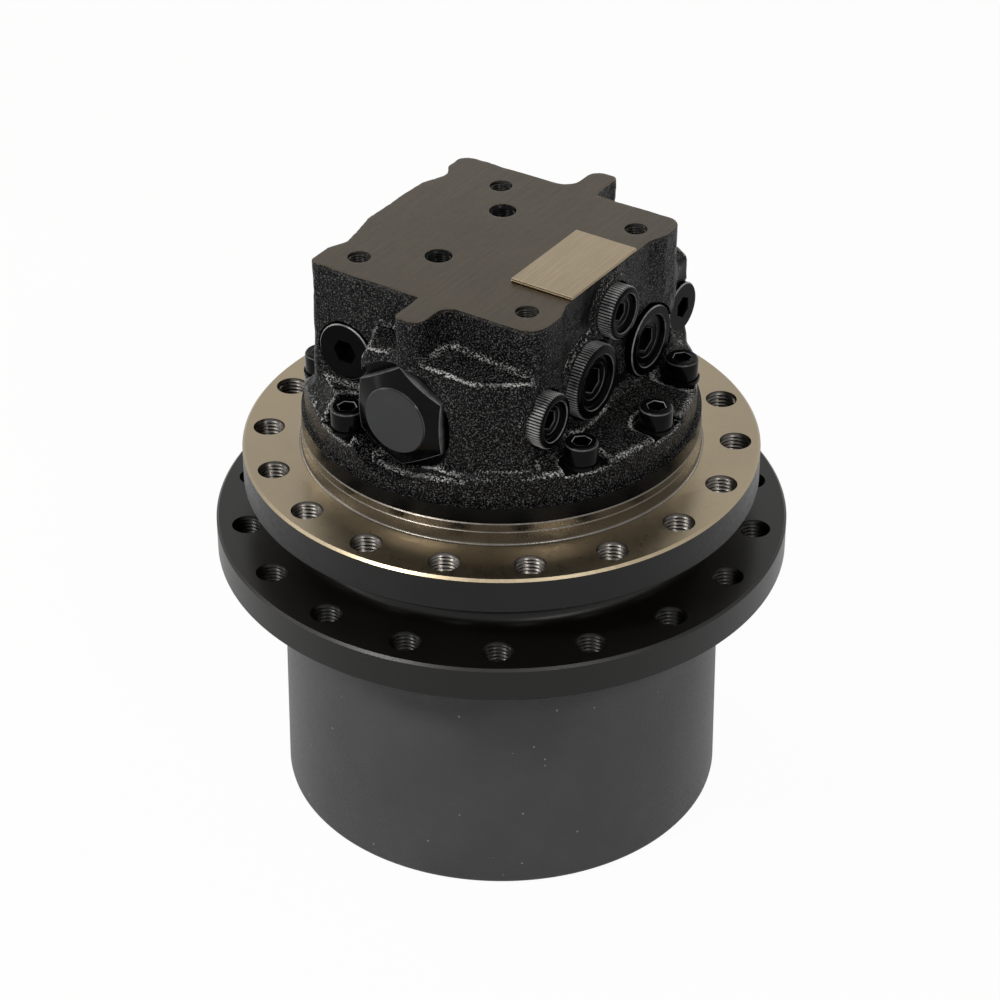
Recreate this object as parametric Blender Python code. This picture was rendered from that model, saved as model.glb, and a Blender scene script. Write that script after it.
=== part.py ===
"""Travel final drive of a small tracked excavator: hub drum with sprocket flange, two planetary stages,
axial piston motor with parking brake, and the cast valve block on top. Metres, +Z up along the drive's axis,
origin at the centre of the drum's closed end."""

import math

import bmesh
import bpy
from mathutils import Matrix, Vector

# Clearances
GAP = 0.0003
RUNNING_GAP = 0.0006
SEAT_GAP = 0.00035

# How far a cutter runs past the faces it cuts, and how far fused shapes reach into each other
OVERRUN = 0.002
BITE = 0.001

# Gear set: one internal ring in the drum, two planetary stages in it
GEAR_MODULE = 0.003
RING_TEETH = 63
FIRST_SUN_TEETH = 9
SECOND_SUN_TEETH = 15
PLANET_COUNT = 3
PRESSURE_ANGLE = math.radians(25)
TOOTH_ADDENDUM = 0.0024
TOOTH_DEDENDUM = 0.0033
TOOTH_BACKLASH = 0.0005
FIRST_STAGE_FACE = 0.018
SECOND_STAGE_FACE = 0.030
FIRST_CARRIER_THICKNESS = 0.0100
OUTPUT_CARRIER_THICKNESS = 0.0120
CARRIER_RIM = 0.0040
FIRST_PIN_RADIUS = 0.009
SECOND_PIN_RADIUS = 0.013
STAGE_CLEARANCE = 0.0012

# Drum and sprocket flange
DRUM_WALL = 0.0122
DRUM_DRAFT = 0.0008
DRUM_EDGE_RADIUS = 0.003
RING_GEAR_START = 0.0225
SPROCKET_FLANGE_TOP = 0.1542
SPROCKET_FLANGE_THICKNESS = 0.0181
SPROCKET_FLANGE_WIDTH = 0.0320
SPROCKET_BOLT_OFFSET = 0.0170
FLANGE_CHAMFER = 0.0012
NECK_FILLET = 0.007
NECK_STEP = 0.005

# Frame flange and its machined boss
FLANGE_SPACING = 0.0214
FRAME_FLANGE_THICKNESS = 0.0188
FRAME_FLANGE_WIDTH = 0.0292
FRAME_BOLT_OFFSET = 0.0168
BOSS_RADIUS = 0.0982
BOSS_HEIGHT = 0.0116
FLANGE_BOLT_COUNT = 18
FLANGE_BOLT_RADIUS = 0.007
SPROCKET_BOLT_PHASE = math.radians(2.5)
FRAME_BOLT_PHASE = math.radians(10)

# Main bearings and floating seal
BEARING_INSERTION_GAP = 0.0031
BEARING_SECTION = 0.0260
BEARING_RING = 0.0075
BEARING_WIDTH = 0.0160
BEARING_SHOULDER = 0.0075
BEARING_SHOULDER_DEPTH = 0.0050
BALL_RADIUS = 0.0062
BALL_COUNT = 8
BALL_TRACK_DEPTH = 0.0030
CAGE_THICKNESS = 0.0030
CAGE_HEIGHT = 0.0060
NUT_INSET = 0.0010
NUT_HEIGHT = 0.0110
NUT_WALL = 0.0085
NUT_NOTCH = 0.0060
NUT_NOTCH_DEPTH = 0.0030
NUT_NOTCH_COUNT = 4
SEAL_WIDTH = 0.0190
SEAL_INSET = 0.0050
SEAL_DEPTH = 0.0095
NECK_GAP = 0.0030
SEAL_RING_BORE_ROOM = 0.0010
SEAL_RING_EDGE_ROOM = 0.0015
SEAL_RING_WALL = 0.0065
SEAL_FACE_THICKNESS = 0.0030
SEAL_FACE_BACK = 0.0045

# Spindle, motor bore and brake
SPINDLE_WALL = 0.0125
SPINDLE_WEB = 0.0090
SPINDLE_NECK_STEP = 0.0035
CARRIER_SOCKET_DEPTH = 0.0085
CARRIER_SPLINE_TEETH = 12
CARRIER_SPLINE_TOOTH = 0.0030
CARRIER_SPLINE_INSET = 0.0060
CARRIER_SPLINE_ROOT_SHARE = 0.32
CARRIER_SPLINE_TIP_SHARE = 0.18
BRAKE_PLATE_THICKNESS = 0.0030
BRAKE_DISC_WIDTH = 0.0095
BRAKE_INNER_ROOM = 0.0025
BRAKE_OUTER_ROOM = 0.0020
BRAKE_PISTON_HEIGHT = 0.0150
BRAKE_SPRING_HEIGHT = 0.0048
BRAKE_SPRING_PLATE = 0.0016
CYLINDER_BLOCK_LENGTH = 0.0460
PISTON_COUNT = 7
PISTON_RADIUS = 0.0070
PISTON_WALL = 0.0048
PISTON_REACH = 0.0060
PORT_HOLE_RADIUS = 0.0032
PORT_DEPTH = 0.0120
VALVE_PLATE_THICKNESS = 0.0045
KIDNEY_STARTS = (20, 200)
KIDNEY_SWEEP = 140
KIDNEY_STEPS = 6
SWASH_ANGLE = math.radians(12)
SWASH_EDGE = 0.0045
SHOE_RADIUS = 0.0080
SHOE_HEIGHT = 0.0042
SHOE_PLATE_THICKNESS = 0.0025
SHOE_PLATE_RIM = 0.0015
SHOE_PLATE_ROOM = 0.0046
SHAFT_RADIUS = 0.0125
SHAFT_JOURNAL_RADIUS = 0.0100
SHAFT_JOURNAL_LENGTH = 0.0150
SHAFT_BEARING_WALL = 0.0075
SUN_SHAFT_RADIUS = 0.0085
COUPLING_DEPTH = 0.0180
SHAFT_INSET = 0.0020
SHAFT_ROOM = 0.0033
SUN_SHAFT_ROOM = 0.0015

# End cover
COVER_SEAT_DEPTH = 0.0062
COVER_THICKNESS = 0.0125
COVER_CROWN = 0.0030
COVER_LIP = 0.0090
COVER_LEDGE = 0.0022
COVER_RING_HEIGHT = 0.0030
COVER_RING_WIDTH = 0.0060
COVER_RING_BITE = 0.0030
O_RING_SECTION = 0.0024
O_RING_HEIGHT = 0.0070
OIL_PLUG_RADIUS = 0.0100
OIL_PLUG_FLANGE = 0.0130
OIL_PLUG_OFFSET = 0.0620
OIL_PLUG_HEAD = 0.0020
OIL_PLUG_SHANK = 0.0090
OIL_PLUG_EDGE = 0.0008
OIL_PLUG_SOCKET_DEPTH = 0.0050

# Valve block casting
BAND_INSET = 0.0004
BAND_HEIGHT = 0.0077
CASTING_INSET = 0.0028
CASTING_RIM_HEIGHT = 0.0170
CASTING_EDGE = 0.0020
SPIGOT_DEPTH = 0.0048
BLOCK_HEIGHT = 0.0949
BLOCK_LEFT = 0.0657
BLOCK_RIGHT = 0.0615
BLOCK_RIGHT_WAIST = 0.0580
BLOCK_FRONT = 0.0652
BLOCK_BACK = 0.0655
TAB_REACH = 0.0215
TAB_WIDTH = 0.0145
TAB_OFFSET = 0.0045
TAB_FILLET = 0.0080
TAB_ROOT = 0.0015
TAB_CORNER = 0.0070
TAB_NARROW_CORNER = 0.0040
FRONT_RIGHT_CORNER = 0.0110
BACK_RIGHT_CORNER = 0.0090
SOFT_CORNER = 0.0060
TIGHT_CORNER = 0.0040
WAIST_CORNER = 0.0080
HOLLOW_CORNER = 0.0100
RIGHT_FRONT_LOBE = 0.0210
RIGHT_FRONT_WAIST = 0.0300
RIGHT_BACK_LOBE = 0.0160
RIGHT_BACK_WAIST = 0.0260
LEFT_FRONT_LOBE = 0.0160
LEFT_FRONT_NOTCH = 0.0260
LEFT_FRONT_BULGE = 0.0500
LEFT_FRONT_NOTCH_DEPTH = 0.0045
LEFT_BACK_LOBE = 0.0140
LEFT_BACK_NOTCH = 0.0220
LEFT_BACK_BULGE = 0.0360
LEFT_BACK_NOTCH_DEPTH = 0.0050
LEFT_BULGE = 0.0010
SKIRT_TOP = 0.0510
SKIRT_INSET = 0.0190
SKIRT_FIRST_ANGLE = 96
SKIRT_LAST_ANGLE = 264
SKIRT_STEPS = 14
CORNER_MASS_INSET = 0.0077
CORNER_MASS_ROOT = (0.0300, -0.0200)
CORNER_MASS_STEPS = 8
BACK_MASS_INSET = 0.0017
BACK_MASS_ROOT = (0.0200, 0.0300)
BACK_MASS_SHOULDER = 0.0869
BACK_MASS_FIRST_ANGLE = 54
BACK_MASS_LAST_ANGLE = 68
BACK_MASS_STEPS = 3
SCREW_INSET = 0.0107
SCREW_ANGLES = (0.0, 31.5, -31.5, 113.0, -113.0, 148.5, -148.5)
SCREW_TURN = math.radians(15)
SCREW_SEAT_HEIGHT = 0.0210
SCREW_POCKET_RADIUS = 0.0112
SCREW_POCKET_MOUTH = 0.0130
SCREW_POCKET_RUN = 0.0300
SCREW_POCKET_HEIGHT = 0.0550
SCREW_RADIUS = 0.0050
SCREW_HEAD_RADIUS = 0.0080
SCREW_HEAD_HEIGHT = 0.0100
WASHER_HEIGHT = 0.0024
WASHER_RADIUS = 0.0088
SCREW_SOCKET = 0.0080
SCREW_LENGTH = 0.0350
TAPPED_HOLE_RADIUS = 0.0050
TAPPED_HOLE_DEPTH = 0.0200
TOP_PORT_RADIUS = 0.0060
TOP_PORT_DEPTH = 0.0240

# Levels of the corner mass: inset from its radius, height over the block's foot, first and last angle
CORNER_MASS_LEVELS = (
    (0.0, CASTING_RIM_HEIGHT, -86, -47),
    (0.0, 0.0650, -86, -47),
    (0.0040, 0.0710, -85, -46),
    (0.0190, 0.0840, -86, -44),
)

# Levels of the back mass: inset from its wall and radius, height over the block's foot
BACK_MASS_LEVELS = ((0.0, 0.0200), (0.0, 0.0660), (0.0030, 0.0720), (0.0090, 0.0750))

# Plugs: name, face, place across the face, height over the block's foot, head radius, head height,
# style, depth of the seat below the rough face
PLUGS = (
    ("port_plug_upper", "right", 0.0052, 0.0745, 0.0132, 0.0090, "knurled", 0.0008),
    ("port_plug_main", "right", -0.0168, 0.0475, 0.0186, 0.0080, "knurled", 0.0008),
    ("port_plug_lower", "right", -0.0572, 0.0473, 0.0134, 0.0100, "knurled", 0.0008),
    ("return_plug_main", "right", 0.0383, 0.0420, 0.0180, 0.0040, "plain", 0.0008),
    ("return_plug_small", "right", 0.0703, 0.0449, 0.0127, 0.0025, "plain", 0.0008),
    ("valve_plug_front", "front", -0.0453, 0.0525, 0.0146, 0.0030, "plain", 0.0022),
)
PLUG_SHANK_SHARE = 0.62
PLUG_SHANK_LENGTH = 0.0120
PLUG_SOCKET_SHARE = 0.62
PLUG_EDGE = 0.0010
SPOTFACE_MARGIN = 0.0005
SPOTFACE_REACH = 0.040

# Holes in the top face: x, y, radius, depth
TOP_HOLES = (
    (-0.0320, 0.0482, TAPPED_HOLE_RADIUS, TAPPED_HOLE_DEPTH),
    (-0.0481, -0.0487, TAPPED_HOLE_RADIUS, TAPPED_HOLE_DEPTH),
    (0.0462, 0.0466, TAPPED_HOLE_RADIUS, TAPPED_HOLE_DEPTH),
    (0.0461, -0.0489, TAPPED_HOLE_RADIUS, TAPPED_HOLE_DEPTH),
    (-0.0172, 0.0272, TOP_PORT_RADIUS, TOP_PORT_DEPTH),
    (-0.0175, -0.0273, TOP_PORT_RADIUS, TOP_PORT_DEPTH),
)

# Counterbalance valve across the block
SPOOL_HEIGHT = 0.0410
SPOOL_OFFSET = -0.0010
SPOOL_RADIUS = 0.0110
SPOOL_LENGTH = 0.0800
SPOOL_WAIST = 0.0035
SPOOL_END_LAND = 0.0100
SPOOL_CENTRE_LAND = 0.0060
SPOOL_TAPER = 0.0030
SPRING_WIRE = 0.0011
SPRING_TURNS = 3
SPRING_ROOM = 0.0012
SPRING_STEPS = 8
SPRING_SIDES = 3
CAP_BOSS_RADIUS = 0.0345
CAP_BOSS_REACH = 0.0190
CAP_BOSS_ROOT = 0.0200
CAP_RECESS_RADIUS = 0.0295
CAP_RECESS_DEPTH = 0.0050
CAP_ACROSS_FLATS = 0.0455
CAP_HEAD_HEIGHT = 0.0090
CAP_CHAMFER = 0.0035
CAP_DISC_RADIUS = 0.0170
CAP_DISC_HEIGHT = 0.0006
CAP_SHANK_RADIUS = 0.0200
CAP_SHANK_LENGTH = 0.0160

# Nameplate
PLATE_LENGTH = 0.0570
PLATE_WIDTH = 0.0335
PLATE_THICKNESS = 0.0016
PLATE_GROOVE_DEPTH = 0.0003
PLATE_GROOVE_HEIGHT = 0.00008
PLATE_CENTRE = (0.0413, -0.0010)

# Facets of a full circle
LARGE_ROUND = 32
MEDIUM_ROUND = LARGE_ROUND // 2
SMALL_ROUND = 12
TINY_ROUND = 8
PORT_ROUND = 6

# Radius up to which an outline's corner takes a single facet
SMALL_CORNER = 0.0065

# Sizes worked out from the ones above
RING_PITCH_RADIUS = GEAR_MODULE * RING_TEETH / 2
RING_TIP_RADIUS = RING_PITCH_RADIUS - TOOTH_ADDENDUM
RING_ROOT_RADIUS = RING_PITCH_RADIUS + TOOTH_DEDENDUM
FIRST_PLANET_TEETH = (RING_TEETH - FIRST_SUN_TEETH) // 2
SECOND_PLANET_TEETH = (RING_TEETH - SECOND_SUN_TEETH) // 2
FIRST_SUN_PHASE = 0.0 if FIRST_PLANET_TEETH % 2 else math.pi / FIRST_SUN_TEETH
SECOND_SUN_PHASE = 0.0 if SECOND_PLANET_TEETH % 2 else math.pi / SECOND_SUN_TEETH
FIRST_CENTRE_DISTANCE = GEAR_MODULE * (FIRST_SUN_TEETH + FIRST_PLANET_TEETH) / 2
SECOND_CENTRE_DISTANCE = GEAR_MODULE * (SECOND_SUN_TEETH + SECOND_PLANET_TEETH) / 2

SMALL_FLAT = math.cos(math.pi / SMALL_ROUND)
FIRST_PIN_TURNING = FIRST_PIN_RADIUS * SMALL_FLAT - GAP
SECOND_PIN_TURNING = SECOND_PIN_RADIUS * SMALL_FLAT - GAP
SHAFT_BEARING_BORE = (SHAFT_RADIUS + GAP) / SMALL_FLAT
JOURNAL_BEARING_BORE = (SHAFT_JOURNAL_RADIUS + GAP) / SMALL_FLAT

DRUM_RADIUS = RING_ROOT_RADIUS + DRUM_WALL
DRUM_TOP_RADIUS = DRUM_RADIUS - DRUM_DRAFT
DRUM_FOOT_RADIUS = DRUM_RADIUS + DRUM_DRAFT
SPROCKET_FLANGE_RADIUS = DRUM_RADIUS + SPROCKET_FLANGE_WIDTH
SPROCKET_BOLT_CIRCLE = DRUM_RADIUS + SPROCKET_BOLT_OFFSET
SPROCKET_FLANGE_BOTTOM = SPROCKET_FLANGE_TOP - SPROCKET_FLANGE_THICKNESS
FRAME_FLANGE_BOTTOM = SPROCKET_FLANGE_TOP + FLANGE_SPACING
FRAME_FLANGE_TOP = FRAME_FLANGE_BOTTOM + FRAME_FLANGE_THICKNESS
FRAME_FLANGE_RADIUS = BOSS_RADIUS + FRAME_FLANGE_WIDTH
FRAME_BOLT_CIRCLE = BOSS_RADIUS + FRAME_BOLT_OFFSET
BOSS_TOP = FRAME_FLANGE_TOP + BOSS_HEIGHT

FIRST_STAGE_BOTTOM = RING_GEAR_START + STAGE_CLEARANCE
FIRST_STAGE_TOP = FIRST_STAGE_BOTTOM + FIRST_STAGE_FACE
FIRST_CARRIER_BOTTOM = FIRST_STAGE_TOP + STAGE_CLEARANCE
FIRST_CARRIER_TOP = FIRST_CARRIER_BOTTOM + FIRST_CARRIER_THICKNESS
SECOND_STAGE_BOTTOM = FIRST_CARRIER_TOP + 2 * STAGE_CLEARANCE
SECOND_STAGE_TOP = SECOND_STAGE_BOTTOM + SECOND_STAGE_FACE
OUTPUT_CARRIER_BOTTOM = SECOND_STAGE_TOP + STAGE_CLEARANCE
OUTPUT_CARRIER_TOP = OUTPUT_CARRIER_BOTTOM + OUTPUT_CARRIER_THICKNESS
RING_GEAR_END = SECOND_STAGE_TOP + STAGE_CLEARANCE
SHAFT_BOTTOM = OUTPUT_CARRIER_BOTTOM + SHAFT_INSET

BEARING_OUTER_RADIUS = RING_TIP_RADIUS - BEARING_INSERTION_GAP
BEARING_BORE_RADIUS = BEARING_OUTER_RADIUS - BEARING_SECTION
SPINDLE_SEAT_RADIUS = BEARING_BORE_RADIUS - GAP
MOTOR_BORE_RADIUS = BEARING_BORE_RADIUS - SPINDLE_WALL
SPINDLE_BOTTOM = OUTPUT_CARRIER_TOP + GAP
CARRIER_SPLINE_RADIUS = MOTOR_BORE_RADIUS - CARRIER_SPLINE_INSET
NUT_BOTTOM = SPINDLE_BOTTOM + NUT_INSET
LOWER_BEARING_BOTTOM = NUT_BOTTOM + NUT_HEIGHT + GAP
HUB_SHOULDER_BOTTOM = LOWER_BEARING_BOTTOM + BEARING_WIDTH + GAP
UPPER_BEARING_BOTTOM = HUB_SHOULDER_BOTTOM + BEARING_SHOULDER + GAP
SPINDLE_SHOULDER_BOTTOM = UPPER_BEARING_BOTTOM + BEARING_WIDTH + GAP
BALL_CIRCLE_RADIUS = BEARING_OUTER_RADIUS - BEARING_SECTION / 2
SEAL_OUTER_RADIUS = DRUM_TOP_RADIUS - NECK_STEP - SEAL_INSET
SEAL_INNER_RADIUS = SEAL_OUTER_RADIUS - SEAL_WIDTH
NECK_TOP = FRAME_FLANGE_BOTTOM - NECK_GAP
SPINDLE_NECK_RADIUS = SEAL_INNER_RADIUS - SPINDLE_NECK_STEP
MOTOR_FLOOR = SPINDLE_BOTTOM + CARRIER_SOCKET_DEPTH + SPINDLE_WEB

BLOCK_BOTTOM = BOSS_TOP + SEAT_GAP
BLOCK_TOP = BLOCK_BOTTOM + BLOCK_HEIGHT
BAND_RADIUS = BOSS_RADIUS - BAND_INSET
CASTING_RADIUS = BOSS_RADIUS - CASTING_INSET
CORNER_MASS_RADIUS = BOSS_RADIUS - CORNER_MASS_INSET
BACK_MASS_RADIUS = BOSS_RADIUS - BACK_MASS_INSET
SCREW_CIRCLE_RADIUS = BOSS_RADIUS - SCREW_INSET
CASTING_RIM_TOP = BLOCK_BOTTOM + BAND_HEIGHT + CASTING_RIM_HEIGHT
SPIGOT_BOTTOM = BLOCK_BOTTOM - SPIGOT_DEPTH
SPIGOT_RADIUS = MOTOR_BORE_RADIUS - GAP
SCREW_SEAT = BLOCK_BOTTOM + SCREW_SEAT_HEIGHT
SPOOL_Z = BLOCK_BOTTOM + SPOOL_HEIGHT
SPOOL_BORE_REACH = BLOCK_BACK + CAP_BOSS_REACH + OVERRUN

VALVE_PLATE_TOP = SPIGOT_BOTTOM - GAP
VALVE_PLATE_BOTTOM = VALVE_PLATE_TOP - VALVE_PLATE_THICKNESS
CYLINDER_BLOCK_TOP = VALVE_PLATE_BOTTOM - GAP
CYLINDER_BLOCK_BOTTOM = CYLINDER_BLOCK_TOP - CYLINDER_BLOCK_LENGTH
BRAKE_SPRING_TOP = SPIGOT_BOTTOM - GAP
BRAKE_SPRING_BOTTOM = BRAKE_SPRING_TOP - BRAKE_SPRING_HEIGHT
BRAKE_PISTON_TOP = BRAKE_SPRING_BOTTOM - GAP
BRAKE_PISTON_BOTTOM = BRAKE_PISTON_TOP - BRAKE_PISTON_HEIGHT
BRAKE_STACK_TOP = BRAKE_PISTON_BOTTOM - GAP
BRAKE_OUTER_RADIUS = MOTOR_BORE_RADIUS - GAP
CYLINDER_BLOCK_RADIUS = MOTOR_BORE_RADIUS - BRAKE_DISC_WIDTH - BRAKE_INNER_ROOM
PISTON_CIRCLE_RADIUS = CYLINDER_BLOCK_RADIUS - PISTON_RADIUS - PISTON_WALL
SWASH_RADIUS = MOTOR_BORE_RADIUS - GAP
SWASH_MIDDLE = MOTOR_FLOOR + GAP + SWASH_EDGE + SWASH_RADIUS * math.tan(SWASH_ANGLE)


def material(name, colour, roughness, metallic):
    """One Principled finish."""
    made = bpy.data.materials.new(name)
    made.use_nodes = True
    shader = made.node_tree.nodes["Principled BSDF"]
    shader.inputs["Base Color"].default_value = (*colour, 1.0)
    shader.inputs["Roughness"].default_value = roughness
    shader.inputs["Metallic"].default_value = metallic
    made.diffuse_color = (*colour, 1.0)
    return made


def clear_scene():
    """Empties the scene that the script starts in."""
    for old in list(bpy.data.objects):
        bpy.data.objects.remove(old, do_unlink=True)


def smooth(mesh, angle=math.radians(35)):
    """Round faces shaded smooth, edges kept sharp."""
    mesh.shade_smooth()
    mesh.set_sharp_from_angle(angle=angle)


def place(name, mesh, finish=None, location=(0, 0, 0), rotation=(0, 0, 0)):
    """Links a mesh as a named object. Without a finish it is a cutter, hidden from renders."""
    made = bpy.data.objects.new(name, mesh)
    made.location = location
    made.rotation_euler = rotation
    bpy.context.scene.collection.objects.link(made)
    smooth(mesh)
    if finish is None:
        made.hide_render = True
        made.display_type = "WIRE"
    else:
        mesh.materials.append(finish)
    return made


def boolean(target, cutter, operation):
    """Adds one exact Boolean to the target."""
    step = target.modifiers.new(f"{operation.lower()} {cutter.name}", "BOOLEAN")
    step.operation = operation
    step.solver = "EXACT"
    step.object = cutter


def cut(target, *cutters):
    for cutter in cutters:
        boolean(target, cutter, "DIFFERENCE")


def fuse(target, *additions):
    for addition in additions:
        boolean(target, addition, "UNION")


def stitch(shape, ring, following):
    """Faces between two rings of points, one of which may hold twice as many as the other."""
    if len(ring) == len(following):
        for index in range(len(ring)):
            after = (index + 1) % len(ring)
            shape.faces.new((ring[index], ring[after], following[after], following[index]))
        return
    fine, coarse = (ring, following) if len(ring) > len(following) else (following, ring)
    for index in range(len(coarse)):
        after = (index + 1) % len(coarse)
        middle = fine[2 * index + 1]
        shape.faces.new((fine[2 * index], middle, coarse[index]))
        shape.faces.new((middle, coarse[after], coarse[index]))
        shape.faces.new((middle, fine[2 * after], coarse[after]))


def turned(profile, facets, inner=()):
    """Mesh turned about Z from a closed (radius, height) profile, listed with the solid on its left
    when radius points right and height up. The points of inner follow on with half as many facets."""
    shape = bmesh.new()
    rings = []
    for points, count in ((profile, facets), (inner, facets // 2)):
        for radius, height in points:
            places = circle(radius, count) if radius else [(0.0, 0.0)]
            rings.append([shape.verts.new((x, y, height)) for x, y in places])
    for ring, following in zip(rings, rings[1:] + rings[:1]):
        if len(ring) == 1 and len(following) == 1:
            continue
        if len(ring) > 1 and len(following) > 1:
            stitch(shape, ring, following)
            continue
        rim, middle = (ring, following[0]) if len(ring) > 1 else (following, ring[0])
        for index, point in enumerate(rim):
            shape.faces.new((point, rim[(index + 1) % len(rim)], middle))
    return mesh_from(shape)


def mesh_from(shape):
    """Turns a bmesh into mesh data with its faces pointing out."""
    bmesh.ops.dissolve_degenerate(shape, edges=shape.edges, dist=1e-8)
    bmesh.ops.recalc_face_normals(shape, faces=shape.faces)
    mesh = bpy.data.meshes.new("shape")
    shape.to_mesh(mesh)
    shape.free()
    return mesh


def disc(radius, bottom, top, facets, phase=0.0):
    """Solid cylinder along Z."""
    outline = circle(radius, facets, phase)
    return lofted([(outline, bottom), (outline, top)])


def tube(outer, inner, bottom, top, facets):
    """Plain ring along Z."""
    return turned([(inner, bottom), (outer, bottom), (outer, top), (inner, top)], facets)


def circle(radius, facets, phase=0.0, centre=(0.0, 0.0)):
    """Points of a circle, anticlockwise."""
    return [
        (
            centre[0] + radius * math.cos(phase + math.tau * index / facets),
            centre[1] + radius * math.sin(phase + math.tau * index / facets),
        )
        for index in range(facets)
    ]


def arc(radius, start, end, steps, centre=(0.0, 0.0)):
    """Points along an arc, both ends included, angles in degrees."""
    points = []
    for index in range(steps + 1):
        angle = math.radians(start + (end - start) * index / steps)
        points.append((centre[0] + radius * math.cos(angle), centre[1] + radius * math.sin(angle)))
    return points


def lofted(levels):
    """Closed mesh through outlines of equal length, each at its own height."""
    shape = bmesh.new()
    rings = [[shape.verts.new((x, y, z)) for x, y in outline] for outline, z in levels]
    for lower, upper in zip(rings, rings[1:]):
        for index in range(len(lower)):
            after = (index + 1) % len(lower)
            shape.faces.new((lower[index], lower[after], upper[after], upper[index]))
    shape.faces.new(list(reversed(rings[0])))
    shape.faces.new(rings[-1])
    return mesh_from(shape)


def rounded(corners):
    """Outline through corners given as (x, y, radius), each corner rounded by an arc."""
    points = []
    for index, (x, y, radius) in enumerate(corners):
        corner = Vector((x, y))
        before = Vector(corners[index - 1][:2]) - corner
        after = Vector(corners[(index + 1) % len(corners)][:2]) - corner
        steps = 2 if radius > SMALL_CORNER else 1
        half = before.angle(after) / 2
        reach = min(radius / math.tan(half), 0.49 * min(before.length, after.length))
        true_radius = reach * math.tan(half)
        inward = (before.normalized() + after.normalized()).normalized()
        middle = corner + inward * true_radius / math.sin(half)
        first = corner + before.normalized() * reach - middle
        last = corner + after.normalized() * reach - middle
        turn = first.angle_signed(last)
        for step in range(steps + 1):
            spoke = first.copy()
            spoke.rotate(Matrix.Rotation(-turn * step / steps, 2))
            points.append(tuple(middle + spoke))
    return points


def along(mesh, axis, location=(0, 0, 0)):
    """Lays a mesh made along Z down along another axis and moves it, in its own data."""
    turn = Vector((0, 0, 1)).rotation_difference(Vector(axis)).to_matrix().to_4x4()
    mesh.transform(Matrix.Translation(location) @ turn)
    return mesh


def ring_of(radius, count, phase=0.0):
    """Evenly spaced places on a circle, with their angles."""
    for index in range(count):
        angle = phase + math.tau * index / count
        yield radius * math.cos(angle), radius * math.sin(angle), angle


def joined(meshes):
    """Several closed meshes in one, for use as one cutter."""
    shape = bmesh.new()
    for mesh in meshes:
        shape.from_mesh(mesh)
        bpy.data.meshes.remove(mesh)
    whole = bpy.data.meshes.new("shape")
    shape.to_mesh(whole)
    shape.free()
    return whole


def moved(mesh, x=0.0, y=0.0, z=0.0, turn=0.0):
    """Turns a mesh about Z, then moves it, in its own data."""
    mesh.transform(Matrix.Translation((x, y, z)) @ Matrix.Rotation(turn, 4, "Z"))
    return mesh


def involute(angle):
    return math.tan(angle) - angle


def tooth_half_angle(teeth, radius, thicker):
    """Half of the angle that one involute tooth takes up at a radius."""
    pitch_radius = GEAR_MODULE * teeth / 2
    base_radius = pitch_radius * math.cos(PRESSURE_ANGLE)
    here = math.acos(min(1.0, base_radius / max(radius, base_radius)))
    half = math.pi / (2 * teeth) + thicker / (2 * pitch_radius)
    return half + involute(PRESSURE_ANGLE) - involute(here)


def gear_outline(teeth, tip_radius, root_radius, thicker, phase=0.0, middles=1):
    """Outline of an external gear, tooth centred on the phase angle. A ring gear's hollow is such an
    outline too, with teeth made thicker by the backlash."""
    radii = [root_radius + (tip_radius - root_radius) * step / (middles + 1) for step in range(middles + 2)]
    points = []
    for index in range(teeth):
        centre = phase + math.tau * index / teeth
        flank = [(radius, tooth_half_angle(teeth, radius, thicker)) for radius in radii]
        for radius, half in flank:
            points.append((radius * math.cos(centre - half), radius * math.sin(centre - half)))
        for radius, half in reversed(flank):
            points.append((radius * math.cos(centre + half), radius * math.sin(centre + half)))
    return points


def external_gear(teeth, phase=0.0, middles=1, grow=0.0):
    """Outline of one of the external gears, grown all round by a clearance where it is a cutter."""
    pitch_radius = GEAR_MODULE * teeth / 2
    return gear_outline(
        teeth,
        pitch_radius + TOOTH_ADDENDUM + grow,
        pitch_radius - TOOTH_DEDENDUM + grow,
        2.2 * grow - TOOTH_BACKLASH / 2,
        phase,
        middles,
    )


def hexagon(across_flats, phase=0.0):
    return circle(across_flats / math.sqrt(3), 6, phase)


def flange_holes(bolt_circle, bottom, top, phase):
    """The ring of bolt holes through a flange, as one cutter mesh."""
    holes = []
    for x, y, angle in ring_of(bolt_circle, FLANGE_BOLT_COUNT, phase):
        hole = disc(FLANGE_BOLT_RADIUS, bottom, top, TINY_ROUND, math.pi / TINY_ROUND)
        holes.append(moved(hole, x, y, 0, angle))
    return joined(holes)


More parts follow.
